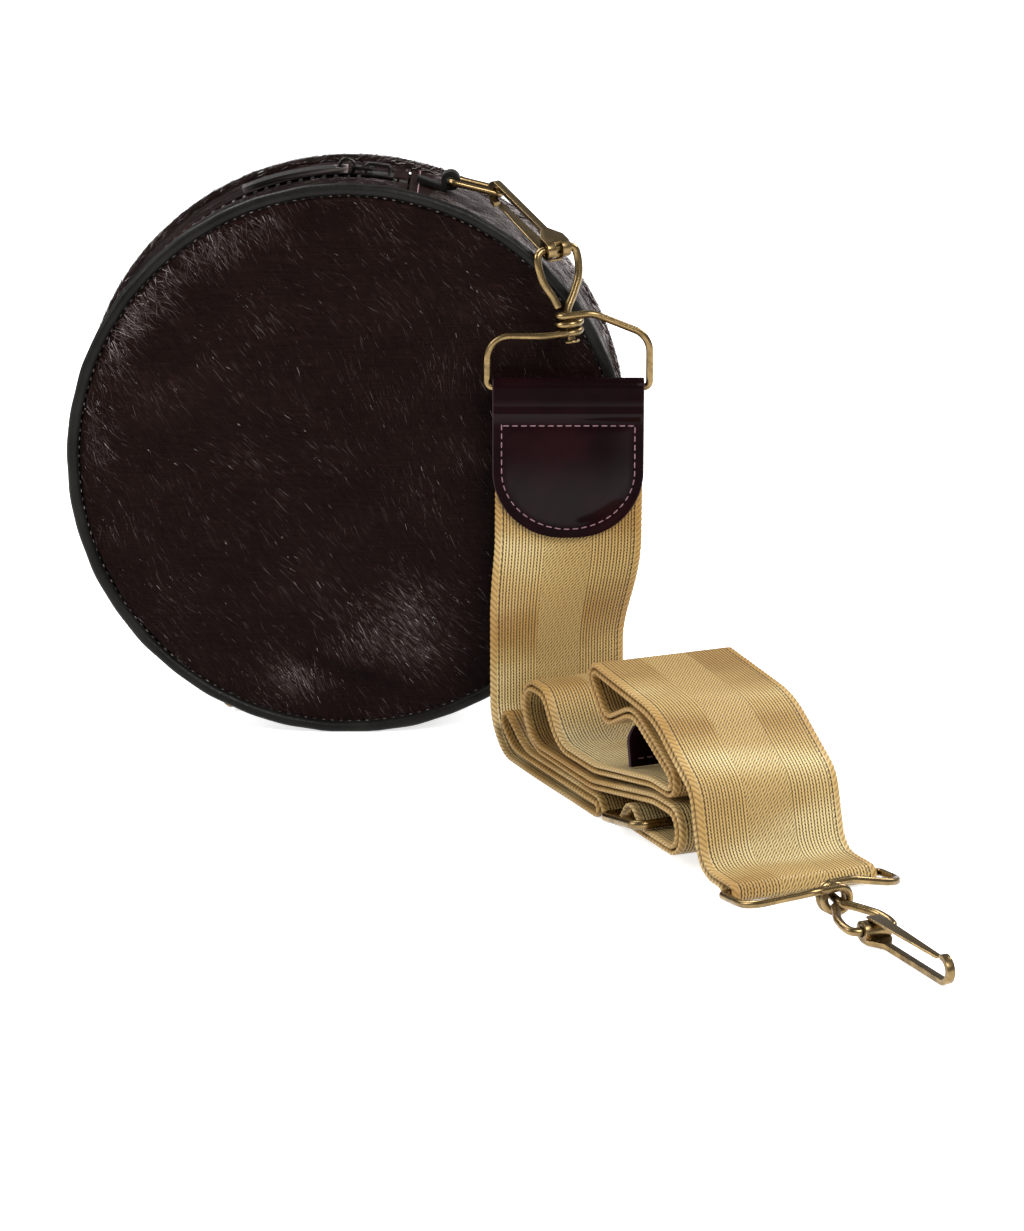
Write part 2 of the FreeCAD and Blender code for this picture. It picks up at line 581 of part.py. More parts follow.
def bent_path(points, radii):
    """The edges of a wire through these points, each inner corner rounded to its radius."""
    edges = []
    start = points[0]
    for before, corner, after, radius in zip(points, points[1:], points[2:], radii):
        into, out = (corner - before).normalize(), (after - corner).normalize()
        half = into.getAngle(out) / 2
        back = radius * math.tan(half)
        middle = (out - into).normalize()
        first, last = corner - into * back, corner + out * back
        crest = corner + middle * (radius / math.cos(half) - radius)
        edges += [Part.makeLine(start, first), Part.Arc(first, crest, last).toShape()]
        start = last
    return edges + [Part.makeLine(start, points[-1])]


def wire_along(edges, wire, at_start, heading):
    """A round wire swept along a path."""
    path = doc.addObject("Part::Feature", "path")
    path.Shape = Part.Wire(edges)
    section = doc.addObject("Part::Circle", "section")
    bind(section, Radius=wire / 2)
    section.Placement = FreeCAD.Placement(at_start, FreeCAD.Rotation(Vector(0, 0, 1), heading))
    swept = doc.addObject("Part::Sweep", "wire")
    swept.Sections = [section]
    swept.Spine = (path, [f"Edge{i + 1}" for i in range(len(edges))])
    swept.Solid = True
    return swept


def swivel_eye(label, place):
    """A pear of wire that hinges in the barrel, with a headed stem for the coil."""
    half, drop, foot_z = num("eye_half_width"), -num("eye_drop"), -num("eye_length")
    low = foot_z - num("stem_length")
    tip_z = foot_z + num("eye_end_lift")
    points = [Vector(0, 0, low), Vector(0, 0, foot_z), Vector(half, 0, drop), Vector(half, 0, 0),
              Vector(-half, 0, 0), Vector(-half, 0, drop), Vector(-num("eye_end_gap"), 0, tip_z)]
    rounds = [num("eye_foot_round"), num("eye_side_round"), num("eye_corner"), num("eye_corner"),
              num("eye_side_round")]
    pear = wire_along(bent_path(points, rounds), size("eye_wire"), points[0], Vector(0, 0, 1))
    head = round_bar(size("stem_head") / 2, size("stem_head_wall"), "Z")
    bind(head, Placement__Base__z=-size("eye_length") - size("stem_length"))
    eye = group("Part::MultiFuse", [pear, head])
    eye.Placement = place
    return kept(eye, label)


loop_width = size("webbing_width") + size("loop_room")


def coiled_loop(label, place):
    """A wide wire loop whose wire turns twice round the stem: coil at the origin, bar below it."""
    coil_h = num("coil_pitch") * num("coil_turns")
    helix = doc.addObject("Part::Helix", "coil_path")
    bind(helix, Pitch=size("coil_pitch"), Height=size("coil_pitch") * size("coil_turns"),
         Radius=size("coil_radius"))
    rise_way = Vector(0, 2 * math.pi * num("coil_radius"), num("coil_pitch")).normalize()
    section = doc.addObject("Part::Circle", "coil_section")
    bind(section, Radius=size("loop_wire") / 2)
    section.Placement = FreeCAD.Placement(Vector(num("coil_radius"), 0, 0),
                                          FreeCAD.Rotation(Vector(0, 0, 1), rise_way))
    doc.recompute()
    coil = doc.addObject("Part::Sweep", "coil")
    coil.Sections = [section]
    coil.Spine = (helix, [f"Edge{i + 1}" for i in range(len(helix.Shape.Edges))])
    coil.Solid = True
    coil.Frenet = True
    coil.Placement = FreeCAD.Placement(Vector(0, 0, -coil_h / 2), FreeCAD.Rotation(Vector(0, 0, 1), -90))
    lead = Vector(rise_way.y, 0, rise_way.z) * num("coil_lead")
    top, low = Vector(0, -num("coil_radius"), coil_h / 2), Vector(0, -num("coil_radius"), -coil_h / 2)
    side, shoulder, bar_z = float(loop_width) / 2, -num("loop_shoulder"), -num("loop_height")
    points = [top, top + lead, Vector(side, 0, shoulder), Vector(side, 0, bar_z), Vector(-side, 0, bar_z),
              Vector(-side, 0, shoulder), low - lead, low]
    rounds = [num("coil_lead"), num("loop_corner"), num("loop_bar_corner"), num("loop_bar_corner"),
              num("loop_corner"), num("coil_lead")]
    arms = wire_along(bent_path(points, rounds), size("loop_wire"), top, lead)
    loop = group("Part::MultiFuse", [coil, arms])
    loop.Placement = place
    return kept(loop, label)


# Eye and loop on the bag's side of the strap: the eye leans in the barrel and the loop hangs level
eye_a = frame_at(hook_a.Base, cross_a, -stem_a_way)
swivel_eye("eye_a", eye_a)
coil_drop = num("eye_length") + num("coil_drop")
loop_a = FreeCAD.Placement(eye_a.multVec(Vector(0, 0, -coil_drop)), FreeCAD.Rotation())
coiled_loop("loop_a", loop_a)
hang = loop_a.multVec(Vector(0, 0, -num("loop_height")))


def rounded_leaf(width, height, wall, corner):
    """A flat leaf that hangs from the origin's level, with its two lower corners rounded."""
    parts = [box(width, wall, height - corner, -width / 2, -wall / 2, corner - height),
             box(width - corner * 2, wall, height, corner - width / 2, -wall / 2, -height)]
    for side in (-1, 1):
        end = round_bar(corner, wall, "Y")
        bind(end, Placement__Base__x=(width / 2 - corner) * side, Placement__Base__z=corner - height)
        parts.append(end)
    return group("Part::MultiFuse", parts)


# Leather tab: folded over the loop's bar, its two leaves holding the webbing's end
tab_width = size("webbing_width") + size("tab_overhang") * 2
fold_in = size("loop_wire") / 2 + size("bar_clear")
fold_out = fold_in + size("tab_wall")
leaf_in = size("webbing_wall") / 2 + size("seam_gap") / 6
leaf_out = leaf_in + size("tab_wall")
tab_low = -size("tab_length")
leaves = []
for side in (-1, 1):
    leaves.append(plate("leaf", "YZ_Plane", [
        (fold_in * side, as_size(0)), (fold_out * side, as_size(0)), (leaf_out * side, -size("tab_neck")),
        (leaf_out * side, tab_low), (leaf_in * side, tab_low), (leaf_in * side, -size("tab_neck"))],
        tab_width))
fold = cut(round_bar(fold_out, tab_width, "X", 180.0, 90.0), round_bar(fold_in, tab_width * 2, "X"))
front = rounded_leaf(tab_width, size("tab_length") + fold_out * 2, fold_out * 4,
                     tab_width * size("tab_round_share"))
bind(front, Placement__Base__z=fold_out * 2)
leather = doc.addObject("Part::Common", "leather")
leather.Base = group("Part::MultiFuse", leaves + [fold])
leather.Tool = front
leather.Placement = FreeCAD.Placement(hang, FreeCAD.Rotation())
kept(leather, "leather_tab")

# Strap webbing: the hanging run and the pile, one length folded on itself
pile_turn = math.radians(num("pile_turn"))
along = Vector(math.sin(pile_turn), -math.cos(pile_turn), 0)
across = Vector(math.cos(pile_turn), math.sin(pile_turn), 0)
up = Vector(0, 0, 1)
corner = Vector(num("pile_x"), num("pile_y"), 0)
half_wall = num("webbing_wall") / 2
bar_turn = num("loop_wire") / 2 + num("bar_clear") + half_wall
glide_turn = num("glide_wire") / 2 + num("bar_clear") + half_wall
step_back = 2 * bar_turn - num("return_gap")
lift = 2 * RETURN_RADIUS * (1 - math.cos(math.radians(RETURN_TURN)))
step_run = (step_back - lift) / math.sin(math.radians(RETURN_TURN))
step_turn = math.radians(RETURN_TURN)
step_long = 2 * RETURN_RADIUS * math.sin(step_turn) + step_run * math.cos(step_turn)
route = SINGLE_ROUTE + DOUBLE_ROUTE + [(0, 0, LAST_RUN)]
bar_count = len(route)
route = route + [(-180, bar_turn, 0), (-RETURN_TURN, RETURN_RADIUS, 0), (0, 0, step_run),
                 (RETURN_TURN, RETURN_RADIUS, 0), (0, 0, LAST_RUN - step_long)]
for turn, radius, run in reversed(DOUBLE_ROUTE):
    outside = num("return_gap") if turn > 0 else -num("return_gap")
    route.append((-turn, radius + outside, run) if turn else (0, 0, run))


def walked(route, start, heading):
    """The start point and heading, in degrees, of each row of a route, with the end's last."""
    place, steps = start, []
    for turn, radius, run in route:
        steps.append((place, heading))
        angle = math.radians(heading)
        ahead = Vector(math.cos(angle), math.sin(angle), 0)
        left = Vector(-math.sin(angle), math.cos(angle), 0)
        if turn:
            side = 1 if turn > 0 else -1
            swing = math.radians(abs(turn))
            place = place + ahead * (radius * math.sin(swing))
            place = place + left * (side * radius * (1 - math.cos(swing)))
            heading += turn
        else:
            place = place + ahead * run
    return steps + [(place, heading)]


steps = walked(route, Vector(0, num("pile_top"), 0), -90.0)
last_place = steps[-1][0]
to_glide = last_place.x - num("glide_along")
route += [(0, 0, to_glide), (-200, glide_turn, 0)]
steps = walked(route, Vector(0, num("pile_top"), 0), -90.0)


def side_edges(offset):
    edges = []
    for (turn, radius, run), (place, heading), (after, later) in zip(route, steps, steps[1:]):
        middle = (heading + later) / 2
        ends = []
        for spot, angle in ((place, heading), (after, later)):
            lean = math.radians(angle)
            ends.append(spot + Vector(-math.sin(lean), math.cos(lean), 0) * offset)
        if not turn:
            edges.append(Part.makeLine(ends[0], ends[1]))
            continue
        side = 1 if turn > 0 else -1
        out = Vector(-math.sin(math.radians(heading)), math.cos(math.radians(heading)), 0) * side
        centre = place + out * radius
        halfway = Vector(-math.sin(math.radians(middle)), math.cos(math.radians(middle)), 0) * -side
        edges.append(Part.Arc(ends[0], centre + halfway * (radius - side * offset), ends[1]).toShape())
    return edges


left, right = side_edges(half_wall), side_edges(-half_wall)
caps = [Part.makeLine(left[0].Vertexes[0].Point, right[0].Vertexes[0].Point),
        Part.makeLine(left[-1].valueAt(left[-1].LastParameter), right[-1].valueAt(right[-1].LastParameter))]
profile = Part.Face(Part.Wire(Part.__sortEdges__(left + right + caps)))
folds = profile.extrude(Vector(0, 0, num("webbing_width")))
folds.Placement = FreeCAD.Placement(corner + across * num("webbing_width"),
                                    FreeCAD.Rotation(along, up, -across, "XYZ"))
foot_centre = corner + across * (num("webbing_width") / 2) + up * num("pile_top")


def strip_section(centre, turn):
    long_way = Vector(math.cos(turn), math.sin(turn), 0) * (num("webbing_width") / 2)
    thick_way = Vector(math.sin(turn), -math.cos(turn), 0) * half_wall
    ring = [centre - long_way - thick_way, centre + long_way - thick_way, centre + long_way + thick_way,
            centre - long_way + thick_way]
    return Part.makePolygon(ring + ring[:1])


tuck, tab_end = hang - up * num("webbing_tuck"), hang - up * num("tab_length")
sections = [strip_section(tuck, 0.0)]
count = int(num("hang_sections"))
for index in range(count):
    part_way = index / (count - 1)
    eased = part_way * part_way * (3 - 2 * part_way)
    level = tab_end.z + (foot_centre.z - tab_end.z) * part_way
    spot = tab_end + (foot_centre - tab_end) * eased
    sections.append(strip_section(Vector(spot.x, spot.y, level), pile_turn * eased))
run_down = Part.makeLoft(sections, True, True)
webbing = doc.addObject("Part::Feature", "webbing")
webbing.Shape = run_down.fuse(folds)
kept(webbing, "strap_webbing")


# Strap slider: a wire frame with a centre bar that the webbing's end is sewn round
tilt = math.radians(num("glide_tilt"))
middle_w = across * (num("webbing_width") / 2)
glide_width = size("webbing_width") + size("glide_room")
glide_frame = rounded_ring("glide_frame", size("glide_pitch") * 2, glide_width, size("glide_corner"),
                           size("glide_wire"))
glide = group("Part::MultiFuse", [glide_frame, round_bar(size("glide_wire") / 2, glide_width, "Y")])
glide_x = along * math.cos(tilt) + up * math.sin(tilt)
glide.Placement = FreeCAD.Placement(corner + along * num("glide_along") + middle_w + up * num("glide_floor"),
                                    FreeCAD.Rotation(glide_x, across, glide_x.cross(across), "XYZ"))
kept(glide, "strap_slider")

# End patch: a small leather leaf sewn on the webbing, standing in the gap of the folds
lean = math.radians(num("patch_lean"))
patch_up = up * math.cos(lean) - along * math.sin(lean)
patch_width = size("webbing_width") - size("patch_inset") * 2
patch = rounded_leaf(patch_width, size("patch_height"), size("patch_wall"), size("patch_round"))
patch_place = corner + along * num("patch_along") + middle_w + up * num("patch_floor")
patch.Placement = frame_at(patch_place, -across, -patch_up)
kept(patch, "end_patch")

# Loop, eye, hook and gate at the strap's far end, lying on the floor
bar_place = steps[bar_count][0]
bar_b = corner + along * bar_place.x + middle_w + up * (bar_place.y - bar_turn)


def laid_way(rise):
    return along * math.cos(math.radians(rise)) + up * math.sin(math.radians(rise))


loop_b_way = laid_way(num("loop_b_rise"))
loop_b = frame_at(bar_b + loop_b_way * num("loop_height"), -across, loop_b_way)
coiled_loop("loop_b", loop_b)
eye_b_way = laid_way(-num("eye_b_dip"))
eye_b = frame_at(loop_b.Base + eye_b_way * coil_drop, across, eye_b_way)
swivel_eye("eye_b", eye_b)
hook_b = frame_at(eye_b.Base, across, laid_way(-num("hook_b_dip")))
snap_hook("hook_b", hook_b)
leaf_gate("gate_b", hook_b)

# Every feature is checked before the pieces are written
doc.recompute()
failed = [obj.Name for obj in doc.Objects if "Invalid" in obj.State or "Error" in obj.State]
failed += [piece.Label for piece in pieces if piece.Shape.isNull() or not piece.Shape.isValid()]
if failed:
    raise RuntimeError(f"not built: {failed}")
os.makedirs("parts", exist_ok=True)
for piece in pieces:
    piece.Shape.exportStep(f"parts/{piece.Label}.step")
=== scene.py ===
# %% [markdown]
# A circle bag stands on its rim: a drum of dark hair-on hide with piped edges and a zip round half
# of its side. A wide gold webbing strap hangs from a snap hook at the top and lies folded on the
# floor. The solids come from the CAD model. Each soft or plain solid is then replaced by a finer
# surface that is worked out with numpy, and each finish is written as shader maths. Lengths are
# written in millimetres and turned into metres where a mesh is made.

# %% Load the frame
import bpy
import math
import numpy as np
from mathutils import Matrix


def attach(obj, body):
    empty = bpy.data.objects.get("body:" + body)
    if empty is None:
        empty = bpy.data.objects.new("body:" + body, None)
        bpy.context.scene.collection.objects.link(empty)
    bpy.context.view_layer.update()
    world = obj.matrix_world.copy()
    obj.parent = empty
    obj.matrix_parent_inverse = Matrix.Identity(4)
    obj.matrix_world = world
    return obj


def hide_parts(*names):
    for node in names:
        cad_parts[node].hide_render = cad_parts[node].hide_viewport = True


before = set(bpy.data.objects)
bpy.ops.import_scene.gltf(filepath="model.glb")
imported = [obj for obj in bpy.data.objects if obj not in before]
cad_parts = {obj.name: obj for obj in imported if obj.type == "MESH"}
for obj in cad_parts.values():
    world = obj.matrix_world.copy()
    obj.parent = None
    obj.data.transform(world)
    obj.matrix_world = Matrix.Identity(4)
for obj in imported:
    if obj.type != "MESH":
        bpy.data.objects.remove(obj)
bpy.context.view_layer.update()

# %% [markdown]
# The camera looks straight at the front face from a little above, through a long lens, so the two
# rims stay nearly round. Its place was worked out from the rim's outline. The lens follows from
# the focal length in pixels and the picture's height, because AUTO fits the sensor to the longer
# side.

# %% Camera
MM = 0.001
SCENE = bpy.context.scene
SENSOR = 36.0
FOCAL_PIXELS, PICTURE_HEIGHT = 4280, 1231
CAMERA_PLACE = (55.7 * MM, -1448.9 * MM, 421.0 * MM)
DEPRESSION = math.radians(15.0)
camera_data = bpy.data.cameras.new("studio_camera")
camera_data.sensor_fit = "AUTO"
camera_data.sensor_width = SENSOR
camera_data.lens = SENSOR * FOCAL_PIXELS / PICTURE_HEIGHT
camera_data.clip_end = 20.0
camera = bpy.data.objects.new("studio_camera", camera_data)
camera.location = CAMERA_PLACE
camera.rotation_euler = (math.pi / 2 - DEPRESSION, 0, 0)
SCENE.collection.objects.link(camera)
SCENE.camera = camera
SCENE.view_settings.view_transform = "Standard"
print("lens", round(camera_data.lens, 1), "mm")

# %% [markdown]
# A finish is a material whose pattern is maths on sockets. One small class wraps a socket, so that
# a + b or 1 - a adds the Math nodes by itself, and one method makes every other node.

# %% Shader maths
def colour(red, green, blue):
    """The linear colour of an 8-bit screen colour: a power curve above a short straight foot."""
    screen = np.array([red, green, blue]) / 255
    linear = np.where(screen < 0.04045, screen / 12.92, ((screen + 0.055) / 1.055) ** 2.4)
    return (*linear.tolist(), 1.0)


class Value:
    """A shader socket that takes part in sums and products."""

    def __init__(self, finish, socket):
        """Keep the socket and the finish that its node belongs to."""
        self.finish = finish
        self.socket = socket

    def maths(self, operation, *parts):
        """One Math node that works on one or two parts."""
        return self.finish.node("ShaderNodeMath", {"operation": operation}, dict(enumerate(parts)))

    def sine(self):
        """The sine of the value, an angle in radians."""
        return self.maths("SINE", self)

    def __abs__(self):
        """The value without its sign."""
        return self.maths("ABSOLUTE", self)

    def __add__(self, other):
        """The sum of two values."""
        return self.maths("ADD", self, other)

    def __sub__(self, other):
        """The value less another."""
        return self.maths("SUBTRACT", self, other)

    def __rsub__(self, other):
        """A number less the value."""
        return self.maths("SUBTRACT", other, self)

    def __mul__(self, other):
        """The product of two values."""
        return self.maths("MULTIPLY", self, other)

    __radd__ = __add__
    __rmul__ = __mul__


class Finish:
    """A material, its shader, and the nodes that feed it."""

    def __init__(self, name, **constants):
        """Constants go straight to the shader's sockets, with _ for a space in a socket's name."""
        self.material = bpy.data.materials.new(name)
        self.material.use_nodes = True
        self.tree = self.material.node_tree
        self.shader = self.tree.nodes["Principled BSDF"]
        for key, value in constants.items():
            self.shader.inputs[key.replace("_", " ")].default_value = value

    def node(self, kind, settings=None, inputs=None, out=0):
        """Any node: its settings, then the links or values of its sockets; gives one output."""
        made = self.tree.nodes.new(kind)
        for key, value in (settings or {}).items():
            if key == "stops":
                ramp = made.color_ramp.elements
                while len(ramp) < len(value):
                    ramp.new(0.5)
                for element, (place, tint) in zip(ramp, value):
                    element.position = place
                    element.color = tint
            else:
                setattr(made, key, value)
        for key, value in (inputs or {}).items():
            if isinstance(value, Value):
                self.tree.links.new(value.socket, made.inputs[key])
            else:
                made.inputs[key].default_value = value
        return Value(self, made.outputs[out])

    def place(self, kind="Object", turn=(0, 0, 0), stretch=(1, 1, 1)):
        """The surface's coordinates, turned and stretched for a pattern."""
        spot = self.node("ShaderNodeTexCoord", out=kind)
        return self.node("ShaderNodeMapping", None, {
            "Vector": spot, "Rotation": turn, "Scale": stretch})

    def noise(self, stretch, detail, rough=0.55, kind="Object", turn=(0, 0, 0)):
        """Cloudy noise: the stretch is about the number of clouds to a metre along each axis."""
        where = self.place(kind, turn, np.broadcast_to(stretch, 3).tolist())
        return self.node("ShaderNodeTexNoise", None, {
            "Vector": where, "Scale": 1.0, "Detail": detail, "Roughness": rough})

    def curve(self, value, low, high, to_low=0.0, to_high=1.0):
        """A value's range between low and high, spread over another range and held at its ends."""
        return self.node("ShaderNodeMapRange", {"interpolation_type": "SMOOTHSTEP"}, {
            0: value, 1: low, 2: high, 3: to_low, 4: to_high})

    def mix(self, share, first, second):
        """A colour that goes from the first to the second as the share goes from 0 to 1."""
        return self.node("ShaderNodeMix", {"data_type": "RGBA"}, {
            0: share, 6: first, 7: second}, out=2)

    def attribute(self, name):
        """A number that the mesh stores at each vertex."""
        return self.node("ShaderNodeAttribute", {"attribute_name": name}, out="Fac")

    def feed(self, **values):
        """Link values to the shader's sockets."""
        for key, value in values.items():
            self.tree.links.new(value.socket, self.shader.inputs[key.replace("_", " ")])
        return self

    def bump(self, height, depth, strength=1.0):
        """Raise the surface by a height pattern, depth in metres."""
        return self.feed(Normal=self.node("ShaderNodeBump", None, {
            "Height": height, "Distance": depth, "Strength": strength}))


print("middle grey", round(colour(128, 128, 128)[0], 3), "in linear light")

# %% [markdown]
# Every new surface is a grid: a function of two parameters, computed as whole arrays. One helper
# turns a grid into a mesh, with a UV map in metres where a weave has to follow the cloth. The drum
# lies round a level axis that runs from front to back, so most grids are given by a radius, an
# angle and y.

# %% Grids to meshes
AXIS_Z = 95.0
UP, INTO = np.array([0, 0, 1.0]), np.array([0, 1.0, 0])
AXIS = UP * AXIS_Z


def enclosed(mesh):
    """The volume inside a closed mesh: a sum over triangles, negative if they face inwards."""
    mesh.calc_loop_triangles()
    corners = np.empty(len(mesh.loop_triangles) * 3, dtype=np.int32)
    mesh.loop_triangles.foreach_get("vertices", corners)
    places = np.empty(len(mesh.vertices) * 3)
    mesh.vertices.foreach_get("co", places)
    a, b, c = np.moveaxis(places.reshape(-1, 3)[corners.reshape(-1, 3)], 1, 0)
    return float(np.sum(a * np.cross(b, c)) / 6)


def add_piece(name, points, faces, finish, body, nodes=(), smooth=True, closed=True):
    """Points in mm and faces as a mesh object that rides on a body and stands for CAD nodes."""
    mesh = bpy.data.meshes.new(name)
    places = np.reshape(points, (-1, 3)) * MM
    mesh.from_pydata(places.tolist(), [], [list(face) for face in faces])
    mesh.polygons.foreach_set("use_smooth", np.full(len(mesh.polygons), smooth))
    mesh.update()
    if closed and enclosed(mesh) < 0:
        mesh.flip_normals()
    piece = bpy.data.objects.new(name, mesh)
    SCENE.collection.objects.link(piece)
    piece.data.materials.append(finish.material)
    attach(piece, body)
    if nodes:
        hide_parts(*nodes)
    return piece


def grid_faces(rows, columns, close_rows=False, close_columns=False):
    """Quads between the neighbours of a grid, wrapped round where a direction is closed."""
    r = np.arange(rows if close_rows else rows - 1)[:, None]
    c = np.arange(columns if close_columns else columns - 1)[None, :]
    next_r, next_c = (r + 1) % rows, (c + 1) % columns
    here, there = r * columns, next_r * columns
    return np.stack([here + c, here + next_c, there + next_c, there + c], -1).reshape(-1, 4)


def end_faces(rows, columns):
    """The two faces that close a tube of rows by columns at its first and its last ring."""
    return [list(range(columns))[::-1], list(range((rows - 1) * columns, rows * columns))]


def repeated_faces(count, rows, columns):
    """The faces of a closed tube of rows by columns, repeated for each copy of its points."""
    offset = (np.arange(count) * rows * columns)[:, None, None]
    faces = (grid_faces(rows, columns, False, True)[None] + offset).reshape(-1, 4).tolist()
    return faces + (np.array(end_faces(rows, columns))[None] + offset).reshape(-1, columns).tolist()


def ease(share):
    """From 0 to 1 with a level start and end: three times the square less twice the cube."""
    return share * share * (3 - 2 * share)


def unit(vectors):
    """Vectors in the last axis, brought to length 1."""
    return vectors / np.linalg.norm(vectors, axis=-1, keepdims=True)


def with_uv(piece, uv):
    """Give each corner the UV, in metres, of its vertex."""
    layer = piece.data.uv_layers.new(name="UVMap")
    corners = np.empty(len(piece.data.loops), dtype=np.int32)
    piece.data.loops.foreach_get("vertex_index", corners)
    layer.data.foreach_set("uv", np.asarray(uv, dtype=np.float32)[corners].ravel())
    return piece


def with_tone(piece, tone, name="tone"):
    """Give each vertex a number that its finish reads."""
    layer = piece.data.attributes.new(name, "FLOAT", "POINT")
    layer.data.foreach_set("value", np.asarray(tone, dtype=np.float32))
    return piece


def ripple(u, v, seed, waves=7, low=1.0, high=4.0):
    """A smooth, repeatable unevenness, about -1 to 1: a sum of sine waves in random directions."""
    rng = np.random.default_rng(seed)
    total = np.zeros(np.broadcast(u, v).shape)
    for _ in range(waves):
        turn, pace = rng.uniform(0, 2 * np.pi), rng.uniform(low, high)
        start = rng.uniform(0, 2 * np.pi)
        total += np.sin(pace * (u * np.cos(turn) + v * np.sin(turn)) + start)
    return total / np.sqrt(waves) / 1.6


def drum(radius, degrees, y):
    """Points round the drum's axis, in mm: a radius, an angle as the front shows it, and y."""
    turn = np.radians(degrees)
    radius, turn, y = np.broadcast_arrays(radius, turn, y)
    return np.stack([radius * np.cos(turn), y, AXIS_Z + radius * np.sin(turn)], -1)


def tube(path, radius, sides=16, closed=False, up=(0, 0, 1)):
    """Points of a round wire along a path, in mm: each ring lies across the path's direction."""
    path = np.asarray(path, dtype=float)
    ahead = np.roll(path, -1, 0) - np.roll(path, 1, 0) if closed else np.gradient(path, axis=0)
    ahead = unit(ahead)
    side = np.cross(ahead, np.asarray(up, dtype=float))
    weak = np.linalg.norm(side, axis=1) < 0.2
    side[weak] = np.cross(ahead[weak], np.array([0.3, 0.9, 0.1]))
    for index in range(1, len(side)):
        side[index] = side[index - 1] - ahead[index] * np.dot(side[index - 1], ahead[index])
        side[index] /= np.linalg.norm(side[index])
    over = np.cross(side, ahead)
    turn = np.linspace(0, 2 * np.pi, sides, endpoint=False)
    radius = np.broadcast_to(radius, len(path))[:, None, None]
    across, upright = np.cos(turn)[None, :, None], np.sin(turn)[None, :, None]
    return path[:, None, :] + (side[:, None, :] * across + over[:, None, :] * upright) * radius


print("a grid of 4 by 5 points has", len(grid_faces(4, 5)), "faces")

# %% [markdown]
# The hide is short hair over skin. The skin is dark brown with fine streaks along the hair's lie.
# The hair itself is tens of thousands of flat blades, each with its own tone, because only real
# blades break the outline at the rim and catch the light one by one.

# %% Hide finishes
def hide_finish(name, turn):
    """Dark skin with streaks: noise drawn out along the hair's lie, one fine and one broad."""
    skin = Finish(name, Specular_IOR_Level=0.02)
    fine = skin.noise((90, 1500, 1500), detail=4.0, turn=turn)
    broad = skin.noise((14, 40, 40), detail=2.0, turn=turn)
    tint = skin.mix(skin.curve(fine, 0.35, 0.75), colour(16, 8, 7), colour(38, 23, 19))
    tint = skin.mix(skin.curve(broad, 0.5, 0.8, 0.0, 0.4), tint, colour(56, 40, 36))
    skin.feed(Base_Color=tint, Roughness=skin.curve(fine, 0.2, 0.8, 0.38, 0.62))
    return skin.bump(fine, 0.0004, 0.8)


HAIR_TURN = math.radians(-52.0)
skin_finish = hide_finish("hide_skin", (0, -HAIR_TURN, 0))
hair_finish = Finish("hide_hair", Specular_IOR_Level=0.04)
hair_tone = hair_finish.attribute("tone")
HAIR_STOPS = [(0.0, colour(13, 7, 6)), (0.5, colour(33, 19, 16)),
              (0.8, colour(98, 88, 86)), (1.0, colour(196, 188, 186))]
hair_tint = hair_finish.node("ShaderNodeValToRGB", {"stops": HAIR_STOPS}, {"Fac": hair_tone})
hair_finish.feed(Base_Color=hair_tint,
                 Roughness=hair_finish.curve(hair_tone, 0.0, 1.0, 0.42, 0.3))
print("hide finishes made")

# %% [markdown]
# Each face of the drum is one round of hide over a board. Seen from the side it is a shallow crown
# that rolls under at the seam with the piping. A lathe makes it: a profile carried round the
# drum's axis, with a slow unevenness of a few tenths of a millimetre so that it looks sewn and not
# pressed.

# %% Hide panels
FACE_Y, FACE_R, FACE_ROLL, FACE_BACK_Y = 31.0, 89.8, 1.3, 28.65
CROWN_R, CROWN = 90.5, 2.0
FACE_SEED = {-1: 3, 1: 4}


def lathe_disc(profile, count):
    """Points and faces of a closed round form: rows (radius, y) from pole to pole, turned."""
    profile = np.asarray(profile)
    degrees = np.linspace(0, 360, count, endpoint=False)
    rings = drum(profile[1:-1, 0][:, None], degrees[None, :], profile[1:-1, 1][:, None])
    poles = drum(np.zeros(2), 0, profile[[0, -1], 1])
    points = np.concatenate([rings.reshape(-1, 3), poles])
    rows = len(profile) - 2
    faces = grid_faces(rows, count, close_columns=True).tolist()
    around = np.arange(count)
    beside = (around + 1) % count
    first, last, tail = rows * count, rows * count + 1, (rows - 1) * count
    faces += np.stack([np.full(count, first), beside, around], -1).tolist()
    faces += np.stack([np.full(count, last), tail + around, tail + beside], -1).tolist()
    return points, faces


def crease(x, z):
    """The soft fold low on the face: 1 on a line down to the right, falling away over 3 mm."""
    from_x, from_z = x + 28, z + 62
    along, off = from_x * 0.94 - from_z * 0.34, from_x * 0.34 + from_z * 0.94
    return np.exp(-(off / 2.6) ** 2) * np.clip(along / 12, 0, 1) * np.clip((56 - along) / 14, 0, 1)


def panel_height(x, z, seed):
    """How far the hide stands in front of its seam: a crown, a slow ripple and the crease."""
    inner = 1 - (x * x + z * z) / CROWN_R ** 2
    return CROWN * inner + 0.28 * ripple(x / 30, z / 30, seed) * inner - 0.45 * crease(x, z) * inner


